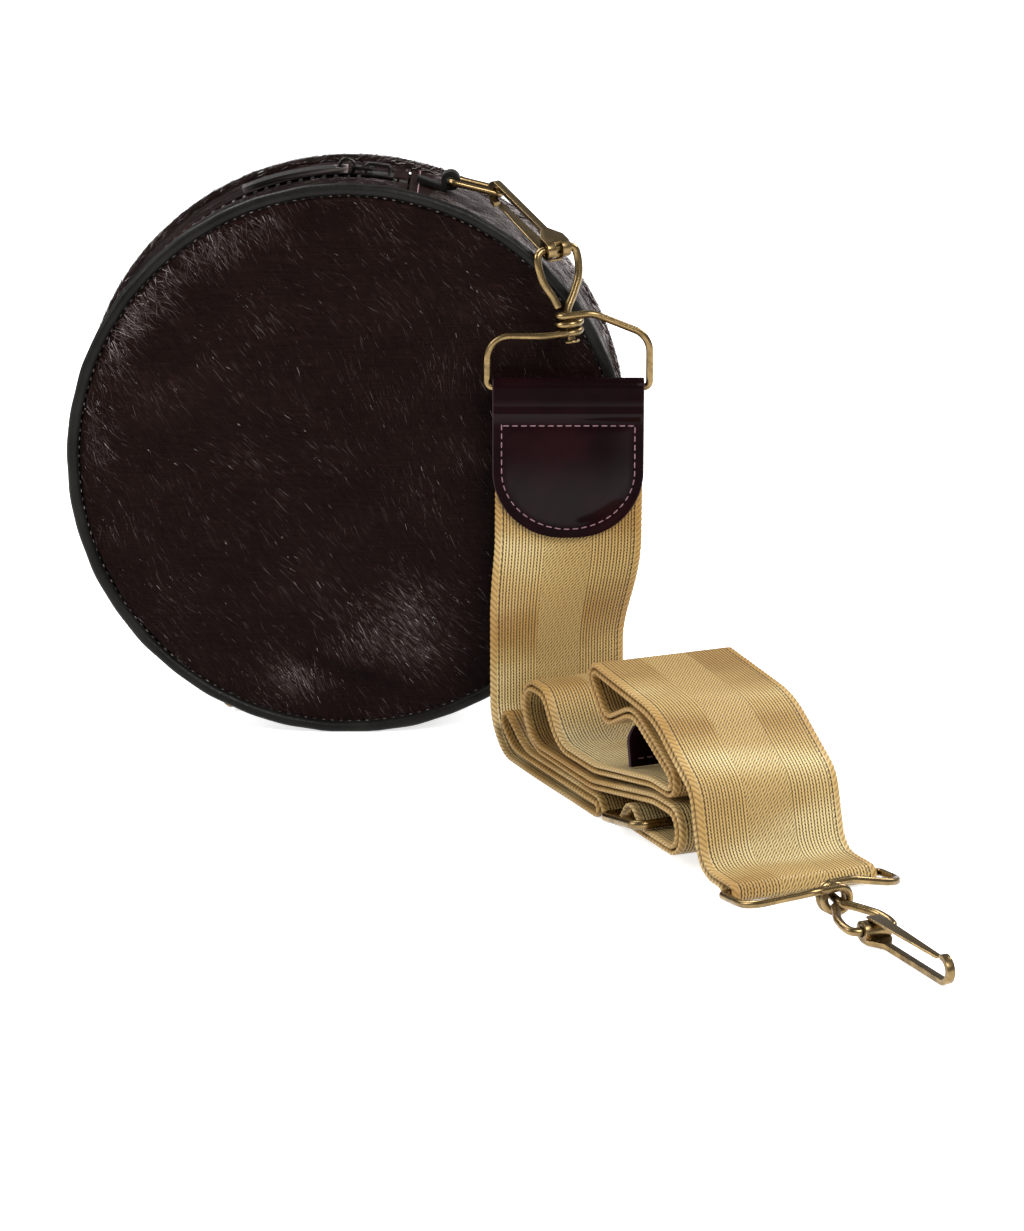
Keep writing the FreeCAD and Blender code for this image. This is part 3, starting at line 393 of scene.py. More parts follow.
def hide_panel(name, side, node):
    """A crowned face, a quarter round at its edge and a flat back, carried round the axis."""
    roll = np.radians(np.linspace(0, 90, 8))[1:]
    profile = [(r, FACE_Y) for r in np.linspace(0, FACE_R, 60)]
    profile += [(FACE_R + FACE_ROLL * math.sin(a), FACE_Y - FACE_ROLL + FACE_ROLL * math.cos(a))
                for a in roll]
    profile += [(r, FACE_BACK_Y) for r in (FACE_R + FACE_ROLL, 60.0, 0.0)]
    points, faces = lathe_disc(profile, 180)
    x, z = points[:, 0], points[:, 2] - AXIS_Z
    front = points[:, 1] > FACE_Y - 0.1
    points[:, 1] += np.where(front, panel_height(x, z, FACE_SEED[side]), 0.0)
    points[:, 1] *= side
    if side > 0:
        faces = [face[::-1] for face in faces]
    return add_piece(name, points, faces, skin_finish, "bag", [node])


front_hide = hide_panel("front_hide", -1, "front_panel")
hide_panel("back_hide", 1, "back_panel")
print("panels", len(front_hide.data.polygons), "faces each")

# %% [markdown]
# A hair blade is five points: two at the root, two half way along, and one at the tip. It leaves
# the skin at a low angle and bends back down. The roots are spread at random with a fixed seed,
# and the lie follows one main direction with slow swirls, as it does on a real hide. Blender's own
# hair could do this, but flat blades are plain faces, so they also reach the exported mesh.

# %% Hair blades
BLADE_POINTS = 5
HAIR_LIMIT = 92.4


def hair_coat(name, roots, outward, lie, length, width, lift, tone):
    """Blades: root + lie * s + outward * rise(s), the rise a low arch that ends near the skin."""
    side = np.cross(outward, lie)
    length, width, lift = (values[:, None] for values in (length, width, lift))
    root = roots - outward * 0.1
    middle = roots + lie * length * 0.55 + outward * length * 0.55 * lift
    tip = roots + lie * length + outward * length * 0.6 * lift
    points = np.stack([root - side * width / 2, root + side * width / 2,
                       middle + side * width * 0.4, middle - side * width * 0.4, tip], 1)
    start = (np.arange(len(roots)) * BLADE_POINTS)[:, None]
    quads = (start + np.array([[0, 1, 2, 3]])).tolist()
    tips = (start + np.array([[3, 2, 4]])).tolist()
    coat = add_piece(name, points, quads + tips, hair_finish, "bag", closed=False)
    return with_tone(coat, np.repeat(np.clip(tone, 0, 1), BLADE_POINTS))


def round_way(degrees):
    """The outward and the clockwise direction at angles round the drum."""
    turn = np.radians(degrees)
    outward = np.stack([np.cos(turn), 0 * turn, np.sin(turn)], -1)
    return outward, np.cross(INTO, outward)


def glow(x, z, at_x, at_z, wide, high):
    """A soft oval patch: 1 at its middle, falling off as a bell curve along x and z."""
    return np.exp(-((x - at_x) / wide) ** 2 - ((z - at_z) / high) ** 2)


def panel_coat(name, side, seed, count=64000):
    """Hair on a face: roots even over the disc, one way with swirls, painted sheen in patches."""
    rng = np.random.default_rng(seed)
    radius = 91.0 * np.sqrt(rng.uniform(0, 1, count))
    turn = rng.uniform(0, 2 * np.pi, count)
    x, z = radius * np.cos(turn), radius * np.sin(turn)
    y = side * (FACE_Y + panel_height(x, z, FACE_SEED[side]))
    roots = np.stack([x, y, z + AXIS_Z], -1)
    outward = np.stack([x * 0.0005, np.full(count, float(side)), z * 0.0005], -1)
    swirl = 0.38 * ripple(x / 34, z / 34, seed + 1) + 0.2 * ripple(x / 9, z / 9, seed + 2)
    # Ruffled upper-left band: more lift, more scatter, lighter: grey hair and painted sheen.
    upper_left = np.exp(-((np.degrees(turn) - 140) / 40) ** 2) * np.clip((radius - 77) / 11, 0, 1)
    angle = HAIR_TURN + swirl + rng.normal(0, 0.16 + 0.3 * upper_left, count)
    lie = np.stack([np.cos(angle), np.zeros(count), np.sin(angle)], -1)
    # Painted sheen: two soft patches low on the face get lighter tone and more bright hairs.
    sheen = glow(x, z, 14, -56, 24, 15) + 0.8 * glow(x, z, -20, -75, 16, 8)
    bright = rng.uniform(0, 1, count) > 0.972 - 0.12 * sheen - 0.1 * upper_left
    length = np.where(bright, rng.uniform(1.6, 3.8, count), rng.uniform(3.6, 6.6, count))
    reach = np.hypot(x + lie[:, 0] * length, z + lie[:, 2] * length)
    kept = np.clip((HAIR_LIMIT - radius) / np.maximum(reach - radius, 0.1), 0.12, 1)
    length = np.where(reach > HAIR_LIMIT, length * kept, length)
    lift = rng.uniform(0.05, 0.16, count) + 0.24 * upper_left
    tone = 0.28 + rng.normal(0, 0.13, count) + 0.1 * ripple(x / 12, z / 12, seed + 3)
    # The crease is darker by 0.3 in tone: painted shade along the fold.
    tone += 0.25 * sheen + 0.25 * upper_left - 0.3 * crease(x, z)
    tone += bright * rng.uniform(0.15, 0.52, count)
    width = np.where(bright, rng.uniform(0.07, 0.12, count), rng.uniform(0.12, 0.22, count))
    return hair_coat(name, roots, outward, lie, length, width, lift, tone)


front_hair = panel_coat("front_hair", -1, 11)
panel_coat("back_hair", 1, 21)
print("hair", len(front_hair.data.vertices) // BLADE_POINTS, "blades on each face")

# %% [markdown]
# The piping is a cord wrapped in smooth, nearly black leather and caught in the rim's seam. It is
# a ring of round section, a little uneven, and pressed flat where the bag stands on it. A torus
# would give the ring, but a worked-out section can wobble as sewn leather does.

# %% Piping
PIPE_R, PIPE_SECTION, PIPE_ROWS, PIPE_SIDES = 93.55, 2.0, 360, 20


def trim_finish(name, edge):
    """Smooth dark leather with a fine grain, paler along sharp edges by the share given."""
    trim = Finish(name, Specular_IOR_Level=0.09)
    grain = trim.noise(700, detail=5.0)
    blotch = trim.noise(60, detail=2.0)
    tint = trim.mix(trim.curve(blotch, 0.3, 0.75), colour(14, 13, 11), colour(26, 25, 22))
    # Sharp edges turn paler: partly the pale dye of a cut edge, partly a painted highlight.
    pale_edge_and_glint = trim.curve(trim.node("ShaderNodeNewGeometry", out="Pointiness"), 0.52, 0.58) * edge
    trim.feed(Base_Color=trim.mix(pale_edge_and_glint, tint, colour(150, 136, 134)),
              Roughness=trim.curve(grain, 0.3, 0.7, 0.3, 0.48))
    return trim.bump(grain, 0.00025, 0.6)


trim_leather = trim_finish("trim_leather", 0.0)
pull_finish = trim_finish("pull_leather", 0.7)


def piping(name, side, phase, node):
    """A ring about the drum's axis: a round section with a slow wobble, never under the floor."""
    degrees = np.linspace(0, 360, PIPE_ROWS, endpoint=False)[:, None]
    turn = np.linspace(0, 2 * np.pi, PIPE_SIDES, endpoint=False)[None, :]
    wobble = 0.06 * np.sin(np.radians(degrees * 23 + phase))
    wobble = wobble + 0.05 * np.sin(np.radians(degrees * 41))
    section = PIPE_SECTION + 0.5 * wobble
    radius, y = PIPE_R + wobble + section * np.cos(turn), side * FACE_Y + section * np.sin(turn)
    points = drum(radius, degrees, y)
    points[..., 2] = np.maximum(points[..., 2], 0.0)
    faces = grid_faces(PIPE_ROWS, PIPE_SIDES, True, True)[:, ::-1]
    return add_piece(name, points, faces, trim_leather, "bag", [node])


piping_front = piping("piping_front", -1, 40, "front_piping")
piping("piping_back", 1, 80, "back_piping")
print("piping", len(piping_front.data.polygons), "faces each")

# %% [markdown]
# The side of the drum is a strip of hide on the lower right and two zip facings on the upper left.
# Each is a section carried along an arc: a flat strip with rounded edges, closed at both ends. A
# curve with a bevel would do the same, but a grid also gives the UV map and can swell a little
# between its seams.

# %% Side strips
SIDE_R, SIDE_Y = 93.3, 28.6
UV_R = 92


def strip_section(y_front, y_back, r_in, r_out, edge, count=24):
    """The outline (radius, y) of a strip: the outside with two rounded edges, then the inside."""
    turn = np.linspace(0, np.pi / 2, 6)
    ahead = [(r_out - edge + edge * math.sin(a), y_front + edge - edge * math.cos(a)) for a in turn]
    flat = [(r_out, y) for y in np.linspace(y_front + edge, y_back - edge, count)[1:-1]]
    behind = [(r_out - edge + edge * math.cos(a), y_back - edge + edge * math.sin(a)) for a in turn]
    inside = [(r_in, y) for y in np.linspace(y_back, y_front, count // 2)]
    return np.array(ahead + flat + behind + inside)


def side_strip(name, section, start, sweep, finish, node, lift=None):
    """A section carried round the drum's axis from a start angle; lift raises its outside."""
    rows, columns = int(sweep * 1.5), len(section)
    degrees = start + np.linspace(0, sweep, rows)[:, None]
    radius, y = section[None, :, 0], section[None, :, 1]
    if lift is not None:
        radius = radius + lift(degrees, y) * (radius >= section[:, 0].max() - 0.05)
    faces = grid_faces(rows, columns, close_columns=True).tolist() + end_faces(rows, columns)
    strip = add_piece(name, drum(radius, degrees, y), faces, finish, "bag", [node])
    uv = np.stack(np.broadcast_arrays(np.radians(degrees) * UV_R * MM, y * MM), -1)
    return with_uv(strip, uv.reshape(-1, 2))


def gusset_lift(degrees, y):
    """A slow ripple and a low crown between the pipings, in mm."""
    return 0.22 * ripple(degrees / 9, y / 12, 31) + 0.25 * (1 - (y / SIDE_Y) ** 2)


def facing_lift(degrees, y):
    """A slow ripple along a zip facing, in mm."""
    return 0.12 * ripple(degrees / 8, y / 9, 37)


side_skin = hide_finish("side_skin", (0, 0, math.radians(70)))
gusset_section = strip_section(-SIDE_Y, SIDE_Y, 91.5, SIDE_R, 0.5)
gusset_hide = side_strip("gusset_hide", gusset_section, -127, 204, side_skin, "gusset_band",
                         gusset_lift)
for name, low, high in (("facing_front", -SIDE_Y, -4.0), ("facing_back", 4.0, SIDE_Y)):
    side_strip(f"zip_{name}_hide", strip_section(low, high, 91.5, 93.4, 0.9), 77.5, 155,
               side_skin, f"zip_{name}", facing_lift)
print("gusset", len(gusset_hide.data.polygons), "faces")

# %% [markdown]
# The side is hairy too. The hair lies round the rim and leans a little to the front, and towards
# the upper right its tone is lifted and bright hairs gather, a painted silvery sheen. Some is
# brushed over the back piping, so that rim shows as a soft edge. The blades are those of the faces,
# with roots set out by an angle and a depth.

# %% Side hair
def side_tone(degrees, y, seed, rng):
    """Side hair tones: dark, with a painted silvery sheen that grows towards the upper right."""
    # Painted sheen at the upper right: lighter tone, more spread and more bright hairs.
    side_sheen = np.exp(-((degrees - 46) / 26) ** 2)
    tone = 0.38 + rng.normal(0, 0.12, len(degrees))
    tone += (0.12 + 0.2 * side_sheen) * ripple(degrees / 5, y / 7, seed + 2)
    return tone + 0.45 * (rng.uniform(0, 1, len(degrees)) > 0.95 - 0.4 * side_sheen) + 0.4 * side_sheen


def rim_coat(name, start, sweep, seed, count):
    """Hair over the back piping: roots round the outer part of its section, lying along the rim."""
    rng = np.random.default_rng(seed)
    degrees = start + sweep * rng.uniform(0, 1, count)
    lap = np.radians(rng.uniform(-115, 60, count))[:, None]
    radial, along = round_way(degrees)
    outward = radial * np.cos(lap) + INTO * np.sin(lap)
    lean = rng.normal(0.1, 0.3, count)[:, None]
    lie = along * np.cos(lean) + np.cross(outward, along) * np.sin(lean)
    roots = AXIS + INTO * FACE_Y + radial * PIPE_R + outward * PIPE_SECTION
    length, width = rng.uniform(2.4, 4.4, count), rng.uniform(0.12, 0.22, count)
    lift = rng.uniform(0.04, 0.16, count)
    tone = side_tone(degrees, roots[:, 1], seed, rng)
    return hair_coat(name, roots, outward, lie, length, width, lift, tone)


def side_coat(name, start, sweep, low, high, seed, count):
    """Hair on a strip: roots at random, lying round the rim, short where it would pass an edge."""
    rng = np.random.default_rng(seed)
    degrees, y = start + sweep * rng.uniform(0, 1, count), rng.uniform(low, high, count)
    outward, along = round_way(degrees)
    roots = AXIS + outward * SIDE_R + INTO * y[:, None]
    lean = -0.5 + 0.4 * ripple(degrees / 12, y / 14, seed + 1) + rng.normal(0, 0.22, count)
    lie = along * np.cos(lean)[:, None] + INTO * np.sin(lean)[:, None]
    length = rng.uniform(3.8, 7.0, count)
    tip = y + lie[:, 1] * length
    length = np.where((tip < low) | (tip > high), length * 0.35, length)
    length = np.where((degrees < start + 4) | (degrees > start + sweep - 1), length * 0.4, length)
    tone = side_tone(degrees, y, seed, rng)
    width, lift = rng.uniform(0.12, 0.22, count), rng.uniform(0.05, 0.2, count)
    return hair_coat(name, roots, outward, lie, length, width, lift, tone)


gusset_hair = side_coat("gusset_hair", -126.5, 201, -27.6, 27.6, 41, 44000)
side_coat("facing_hair_front", 78, 154, -27.6, -6.2, 51, 11000)
side_coat("facing_hair_back", 78, 154, 6.2, 27.6, 61, 11000)
rim_coat("rim_hair", -66, 312, 71, 16000)
print("side hair", len(gusset_hair.data.vertices) // BLADE_POINTS, "blades on the gusset")

# %% [markdown]
# The zip's two woven tapes lie under the facings, one on each side of the slot. They are strips
# like the facings, made by the same function. A wave texture along the UV map gives the woven
# rows.

# %% Zip tapes
zip_cloth = Finish("zip_cloth", Specular_IOR_Level=0.25, Roughness=0.85)
zip_rows = zip_cloth.node("ShaderNodeTexWave", {"wave_profile": "TRI"}, {
    "Vector": zip_cloth.place("UV"), "Scale": 520.0, "Distortion": 0.6, "Detail": 1.0})
zip_cloth.feed(Base_Color=zip_cloth.mix(zip_rows, colour(18, 15, 15), colour(52, 44, 42)))
zip_cloth.bump(zip_rows, 0.0002, 0.7)
for name, low, high in (("front", -10.0, -0.6), ("back", 0.6, 10.0)):
    tape = side_strip(f"tape_{name}", strip_section(low, high, 90.6, 91.4, 0.35), 77.5, 155,
                      zip_cloth, f"zip_tape_{name}")
print("tapes", len(tape.data.polygons), "faces each")

# %% [markdown]
# The hardware is antique brass: warm metal that has gone brown in patches and stays bright where
# it is rubbed. A cloudy noise gives the stains, and the mesh's pointiness gives the rubbed edges.
# The zip's metal is a darker gunmetal, made the same way.

# %% Brass
brass = Finish("antique_brass", Metallic=1.0)
brass_stain = brass.noise(160, detail=5.0, rough=0.65)
brass_fine = brass.noise((1400, 1400, 500), detail=3.0)
brass_wear = brass.curve(brass.node("ShaderNodeNewGeometry", out="Pointiness"), 0.47, 0.58)
brass_clean = brass.curve(brass_stain, 0.32, 0.68)
brass_tint = brass.mix(brass_clean, colour(58, 44, 27), colour(124, 101, 65))
brass.feed(Base_Color=brass.mix(brass_wear * 0.35, brass_tint, colour(184, 160, 114)),
           Roughness=brass.curve(brass_stain, 0.3, 0.75, 0.3, 0.15) + brass_fine * 0.08)
brass.bump(brass_fine, 0.00006, 0.5)

gunmetal = Finish("zip_gunmetal", Metallic=1.0)
gun_stain = gunmetal.noise(300, detail=4.0)
gunmetal.feed(Base_Color=gunmetal.mix(gun_stain, colour(28, 26, 24), colour(70, 67, 62)),
              Roughness=gunmetal.curve(gun_stain, 0.3, 0.7, 0.26, 0.4))
print("brass and gunmetal made")

# %% [markdown]
# A wire is bent, so its path is straight runs with an arc in each corner. The helpers below give
# such a path, lay it in its own plane, and wrap a tube round it, rounder than the CAD facets are.
# Blender's curves with a bevel could do it too; arrays keep each wire in the numbers of the shared
# frame. Sheet-metal pieces keep their CAD shape, and a Bevel modifier rounds the sharp edges of a
# merged copy.

# %% Wires and softened solids
WIRE_SIDES, WIRE_STEP = 18, 0.35


def spread(start, end):
    """Points from a start, which is left out, to an end, about a wire step apart."""
    count = max(int(np.linalg.norm(end - start) / WIRE_STEP), 2)
    return start + (end - start) * np.linspace(0, 1, count)[1:, None]


def rounded_path(points, radii):
    """A path in mm through points whose inner corners are arcs of the radii given."""
    points = np.asarray(points, dtype=float)
    made, start = [points[:1]], points[0]
    for before, corner, after, radius in zip(points, points[1:], points[2:], radii):
        into, out = unit(corner - before), unit(after - corner)
        half = np.arccos(np.clip(np.dot(into, out), -1, 1)) / 2
        first, last = corner - into * radius * np.tan(half), corner + out * radius * np.tan(half)
        centre = corner + unit(out - into) * radius / np.cos(half)
        if np.linalg.norm(first - start) > 1e-6:
            made.append(spread(start, first))
        turn = np.linspace(0, 2 * half, max(int(2 * half * radius / WIRE_STEP), 5))[1:, None]
        made.append(centre + (first - centre) * np.cos(turn) + into * radius * np.sin(turn))
        start = last
    made.append(spread(start, points[-1]))
    return np.concatenate(made)


def placed(path, origin, x_axis, z_axis):
    """A local path in the frame with this origin, X and Z."""
    x_axis, z_axis = np.asarray(x_axis, float), np.asarray(z_axis, float)
    return np.asarray(origin) + path @ np.stack([x_axis, np.cross(z_axis, x_axis), z_axis])


def wire_piece(name, path, diameter, body, node, closed=False, up=UP, finish=brass):
    """A wire: a tube along a path, with a rounded end at each open end."""
    if closed:
        rings = tube(path, diameter / 2, WIRE_SIDES, True, up)
        faces = grid_faces(len(path), WIRE_SIDES, True, True).tolist()
    else:
        arch = np.linspace(0, np.pi / 2, 6)[1:]
        head, tail = unit(path[0] - path[1]), unit(path[-1] - path[-2])
        start = path[0] + head * (np.sin(arch[::-1]) * diameter * 0.25)[:, None]
        end = path[-1] + tail * (np.sin(arch) * diameter * 0.25)[:, None]
        swell = np.concatenate([np.cos(arch[::-1]), np.ones(len(path)), np.cos(arch)])
        radius = np.maximum(swell * diameter / 2, 0.02)
        rings = tube(np.concatenate([start, path, end]), radius, WIRE_SIDES, False, up)
        faces = grid_faces(len(rings), WIRE_SIDES, False, True).tolist()
        faces += end_faces(len(rings), WIRE_SIDES)
    return add_piece(name, rings, faces, finish, body, [node])


def softened(node, name, width, body, finish=brass):
    """A merged copy of a CAD node whose edges sharper than 45 degrees are rounded."""
    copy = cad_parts[node].data.copy()
    copy.materials.clear()
    copy.materials.append(finish.material)
    copy.polygons.foreach_set("use_smooth", np.ones(len(copy.polygons), dtype=bool))
    piece = bpy.data.objects.new(name, copy)
    SCENE.collection.objects.link(piece)
    weld = piece.modifiers.new("weld", "WELD")
    weld.merge_threshold = 0.00001
    thin = piece.modifiers.new("thin", "DECIMATE")
    thin.decimate_type = "DISSOLVE"
    thin.angle_limit = math.radians(1.0)
    edge = piece.modifiers.new("edge", "BEVEL")
    edge.width = width * MM
    edge.segments = 3
    edge.limit_method = "ANGLE"
    edge.angle_limit = math.radians(45)
    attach(piece, body)
    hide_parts(node)
    return piece


print("a rounded corner has", len(rounded_path([(0, 0, 0), (9, 0, 0), (9, 9, 0)], [3.0])), "points")

# %% [markdown]
# Two wire rings hang in leather tabs: one at the top for the hook, one at the lower left. Each is a
# rounded rectangle with one side in its tab. The numbers here are places in the shared frame, for
# the rings, the hooks and the pile of webbing. Names end in a at the bag and in b at the free end
# of the strap.

# %% Places and rings
PILE_TURN = math.radians(24.0)
ALONG = np.array([math.sin(PILE_TURN), -math.cos(PILE_TURN), 0])
ACROSS = np.array([math.cos(PILE_TURN), math.sin(PILE_TURN), 0])
PILE = np.array([48.0, -53.0, 0]) + ACROSS * 25
BARREL_A = np.array([70.279830, -39.018821, 169.839218])
BARREL_B = np.array([162.880363, -249.560688, 3.351715])
COIL_A = np.array([74.589641, -42.019940, 145.397065])
COIL_B = np.array([152.750641, -226.808959, 5.530608])
CROSS_A = np.array([0.878740, 0.467220, 0.097578])
STEM_A = np.array([0.172392, -0.120045, -0.977686])
RINGS = {"a": ((34.835993, 0, 186.706399), 14), "b": ((-55.281905, 0, 13.959757), 45)}


def tilted(degrees):
    """The pile's direction along the floor, tipped up by an angle."""
    return ALONG * math.cos(math.radians(degrees)) + UP * math.sin(math.radians(degrees))


def rounded_rectangle(length, width, corner):
    """A closed path of straight sides and quarter-circle corners about the origin."""
    x, y = length / 2, width / 2
    points = [(0, -y, 0), (x, -y, 0), (x, y, 0), (-x, y, 0), (-x, -y, 0), (0, -y, 0)]
    return rounded_path(points, [corner] * 4)[:-1]


for name, (bar, slope) in RINGS.items():
    way = np.array([math.cos(math.radians(slope)), 0, -math.sin(math.radians(slope))])
    level = np.cross(way, INTO)
    path = placed(rounded_rectangle(17.5, 11.0, 1.9), np.array(bar) + way * 8.75, way, level)
    ring = f"ring_{name}"
    wire = wire_piece(f"wire_{ring}", path, 2.2, ring, ring, closed=True, up=level)
print("each ring", len(wire.data.polygons), "faces")

# %% [markdown]
# Each swivel hook has a pear-shaped eye whose wire runs on into a stem with a flat head, and a wide
# loop whose wire is coiled twice round that stem. Both ends of the strap use the same two paths,
# set in their own planes. The hook and its leaf gate are softened CAD solids.

# %% Eyes, loops and hooks
eye_path = rounded_path(
    [(0, 0, -31.5), (0, 0, -21), (3.4, 0, -16.2), (6.9, 0, -10.4), (7.7, 0, -5), (7.2, 0, 0),
     (-7.2, 0, 0), (-7.7, 0, -5), (-6.9, 0, -10.4), (-4.1, 0, -15.8), (-2.9, 0, -19.2)],
    [6.0, 20.0, 12.0, 14.0, 2.8, 2.8, 14.0, 12.0, 15.0])
COIL_R, COIL_RISE = 3.9, 2.95
coil_turn = np.linspace(-np.pi / 2, -np.pi / 2 + 4 * np.pi, 120)
coil_path = np.stack([COIL_R * np.cos(coil_turn), COIL_R * np.sin(coil_turn),
                      np.linspace(-COIL_RISE, COIL_RISE, 120)], -1)
lead = unit(np.array([2 * np.pi * COIL_R, 0, COIL_RISE])) * 8.0
arm_path = rounded_path(
    [coil_path[-1], coil_path[-1] + lead, (27.25, 0, -4.5), (27.25, 0, -22), (-27.25, 0, -22),
     (-27.25, 0, -4.5), coil_path[0] - lead, coil_path[0]], [8.0, 8.5, 2.0, 2.0, 8.5, 8.0])
loop_path = np.concatenate([coil_path, arm_path[1:-1]])
HEAD_PROFILE = np.array([(0.05, -32.2), (1.6, -32.15), (2.5, -31.9), (2.8, -31.5), (2.8, -31.2),
                         (2.5, -30.95), (1.3, -30.9)])


def stem_head(name, body, origin, x_axis, z_axis):
    """The riveted end of the stem: a flat button turned about the stem, 5.6 mm across."""
    radius, height = HEAD_PROFILE[:, :1], HEAD_PROFILE[:, 1:]
    turn = np.linspace(0, 2 * np.pi, 28, endpoint=False)
    rings = np.stack(np.broadcast_arrays(radius * np.cos(turn), radius * np.sin(turn), height), -1)
    faces = grid_faces(7, 28, False, True).tolist() + end_faces(7, 28)
    points = placed(rings.reshape(-1, 3), origin, x_axis, z_axis)
    return add_piece(name, points, faces, brass, body)


for name, barrel, x_axis, z_axis in (("a", BARREL_A, CROSS_A, -STEM_A),
                                     ("b", BARREL_B, ACROSS, tilted(-5))):
    eye = wire_piece(f"swivel_eye_{name}", placed(eye_path, barrel, x_axis, z_axis), 2.7,
                     f"eye_{name}", f"eye_{name}", up=np.cross(z_axis, x_axis))
    stem_head(f"stem_head_{name}", f"eye_{name}", barrel, x_axis, z_axis)
for name, coil, x_axis, z_axis in (("a", COIL_A, (1, 0, 0), UP), ("b", COIL_B, -ACROSS, tilted(5))):
    loop = wire_piece(f"coiled_loop_{name}", placed(loop_path, coil, x_axis, z_axis), 2.5,
                      f"loop_{name}", f"loop_{name}", closed=True, up=np.cross(z_axis, x_axis))
    softened(f"hook_{name}", f"snap_hook_{name}", 0.35, f"hook_{name}")
    softened(f"gate_{name}", f"leaf_gate_{name}", 0.25, f"gate_{name}")
print("each eye", len(eye.data.polygons), "faces, each loop", len(loop.data.polygons))

# %% [markdown]
# The strap slider is a rounded rectangle of wire with a bar across its middle. The zip's slider
# and tag are small castings, so they are softened CAD solids, and a closed ring of thin wire joins
# the tag to the pull.

# %% Strap slider and zip slider
GLIDE_X, GLIDE_ALONG = tilted(9.2), 110.0
glide_up = np.cross(GLIDE_X, ACROSS)
glide_centre = PILE + ALONG * GLIDE_ALONG + UP * 6.9
glide_path = placed(rounded_rectangle(26.0, 57.0, 4.0), glide_centre, GLIDE_X, glide_up)
wire_piece("slider_frame", glide_path, 3.0, "strap", "strap_slider", closed=True, up=glide_up)
glide_bar = glide_centre + ACROSS * np.linspace(-27.5, 27.5, 40)[:, None]
wire_piece("slider_bar", glide_bar, 3.0, "strap", "strap_slider")
softened("zip_slider", "slider_body", 0.3, "zip_slider", gunmetal)
softened("zip_tag", "slider_tag", 0.3, "zip_tag", gunmetal)
pull_outward, _ = round_way(np.linspace(0, 360, 60, endpoint=False))
pull_path = np.array([-0.533332, 0, 191.333473]) + 2.6 * pull_outward
pull_wire = wire_piece("pull_wire", pull_path, 1.2, "zip_pull", "pull_ring", closed=True, up=INTO,
                       finish=gunmetal)
print("pull ring", len(pull_wire.data.polygons), "faces")

# %% [markdown]
# The strap is one length of gold webbing, about 1.36 m, folded on itself. Its line in the pile is
# the one that the CAD model gives: straight runs and arcs in an upright plane, each row here an
# angle, a radius and a run. A cloth simulation could fold it, but would not keep the strap on its
# CAD line.

# %% Webbing route
SINGLE_ROUTE = [
    (0, 0, 16.0), (90, 17.0, 0), (0, 0, 67.0), (180, 2.0, 0), (0, 0, 60.0), (-45, 20.0, 0),
    (-165, 3.0, 0), (0, 0, 10.0), (30, 24.0, 0), (0, 0, 49.86), (-50, 4.36, 0), (0, 0, 1.0),
    (50, 7.5, 0), (0, 0, 4.2), (50, 4.0, 0), (0, 0, 7.7), (-50, 5.3, 0), (-40, 5.3, 0),
    (0, 0, 4.4), (40, 4.0, 0),
]
DOUBLE_ROUTE = [
    (0, 0, 18.65), (180, 5.5, 0), (0, 0, 8.0), (10, 40.0, 0), (0, 0, 38.0), (-10, 40.0, 0),
    (0, 0, 36.68), (-75, 16.0, 0), (-105, 8.5, 0), (0, 0, 5.0), (-52, 9.0, 0), (0, 0, 8.0),
    (52, 14.0, 0), (0, 0, 16.0), (10, 40.0, 0), (0, 0, 36.0), (-10, 40.0, 0), (0, 0, 8.0),
    (155, 2.6, 0), (0, 0, 24.0), (50, 12.0, 0), (0, 0, 10.0), (-70, 7.5, 0), (0, 0, 10.0),
    (-141, 4.0, 0), (0, 0, 34.0), (-24, 40.0, 0), (0, 0, 20.0), (-45, 12.0, 0), (0, 0, 12.5),
    (75, 9.0, 0),
]
RETURN_GAP, BAR_TURN, GLIDE_TURN = 2.1, 2.35, 2.6
GLIDE_RUN = 119.3497 - GLIDE_ALONG
STEP_TURN, STEP_R, BAR_RUN = 25, 6.0, 11.0
step_sine, step_cosine = math.sin(math.radians(STEP_TURN)), math.cos(math.radians(STEP_TURN))
step_lift = 2 * STEP_R * (1 - step_cosine)
step_run = (2 * BAR_TURN - RETURN_GAP - step_lift) / step_sine
step_long = 2 * STEP_R * step_sine + step_run * step_cosine
route = SINGLE_ROUTE + DOUBLE_ROUTE + [
    (0, 0, BAR_RUN), (-180, BAR_TURN, 0), (-STEP_TURN, STEP_R, 0), (0, 0, step_run),
    (STEP_TURN, STEP_R, 0), (0, 0, BAR_RUN - step_long)]
route += [(-turn, radius + (RETURN_GAP if turn > 0 else -RETURN_GAP if turn < 0 else 0), run)
          for turn, radius, run in reversed(DOUBLE_ROUTE)]
route += [(0, 0, GLIDE_RUN), (-200, GLIDE_TURN, 0)]


def walk(route, start, heading, step):
    """Points (along, up) and headings of a route: each row a straight run or an arc, sampled."""
    place, points, headings = np.array(start), [], []
    for turn, radius, run in route:
        reach = abs(math.radians(turn)) * radius if turn else run
        s = np.append(np.linspace(0, reach, max(int(reach / step), 2), endpoint=False), reach)
        angle = math.radians(heading)
        ahead = np.array([math.cos(angle), math.sin(angle)])
        left = np.array([-math.sin(angle), math.cos(angle)])
        side = math.copysign(1.0, turn) if turn else 0.0
        swing = s / radius if turn else 0 * s
        if turn:
            path = place + ahead * radius * np.sin(swing)[:, None]
            path = path + left * side * radius * (1 - np.cos(swing))[:, None]
        else:
            path = place + ahead * s[:, None]
        points.append(path[:-1])
        headings.append(angle + side * swing[:-1])
        place = path[-1]
        heading += turn
    return np.concatenate(points), np.concatenate(headings)


FOOT_Z = 33.8
laid, laid_heading = walk(route, (0.0, FOOT_Z), -90.0, 0.66)
print("laid part", len(laid), "rows from", len(route), "runs and arcs")

# %% [markdown]
# From the tab the strap hangs down to the pile and turns by the pile's angle on the way. The
# hanging part is a straight blend between the two ends with a smooth start and end. Both parts
# together give, for each row, the middle of the webbing, the direction across it and the direction
# out of its face.

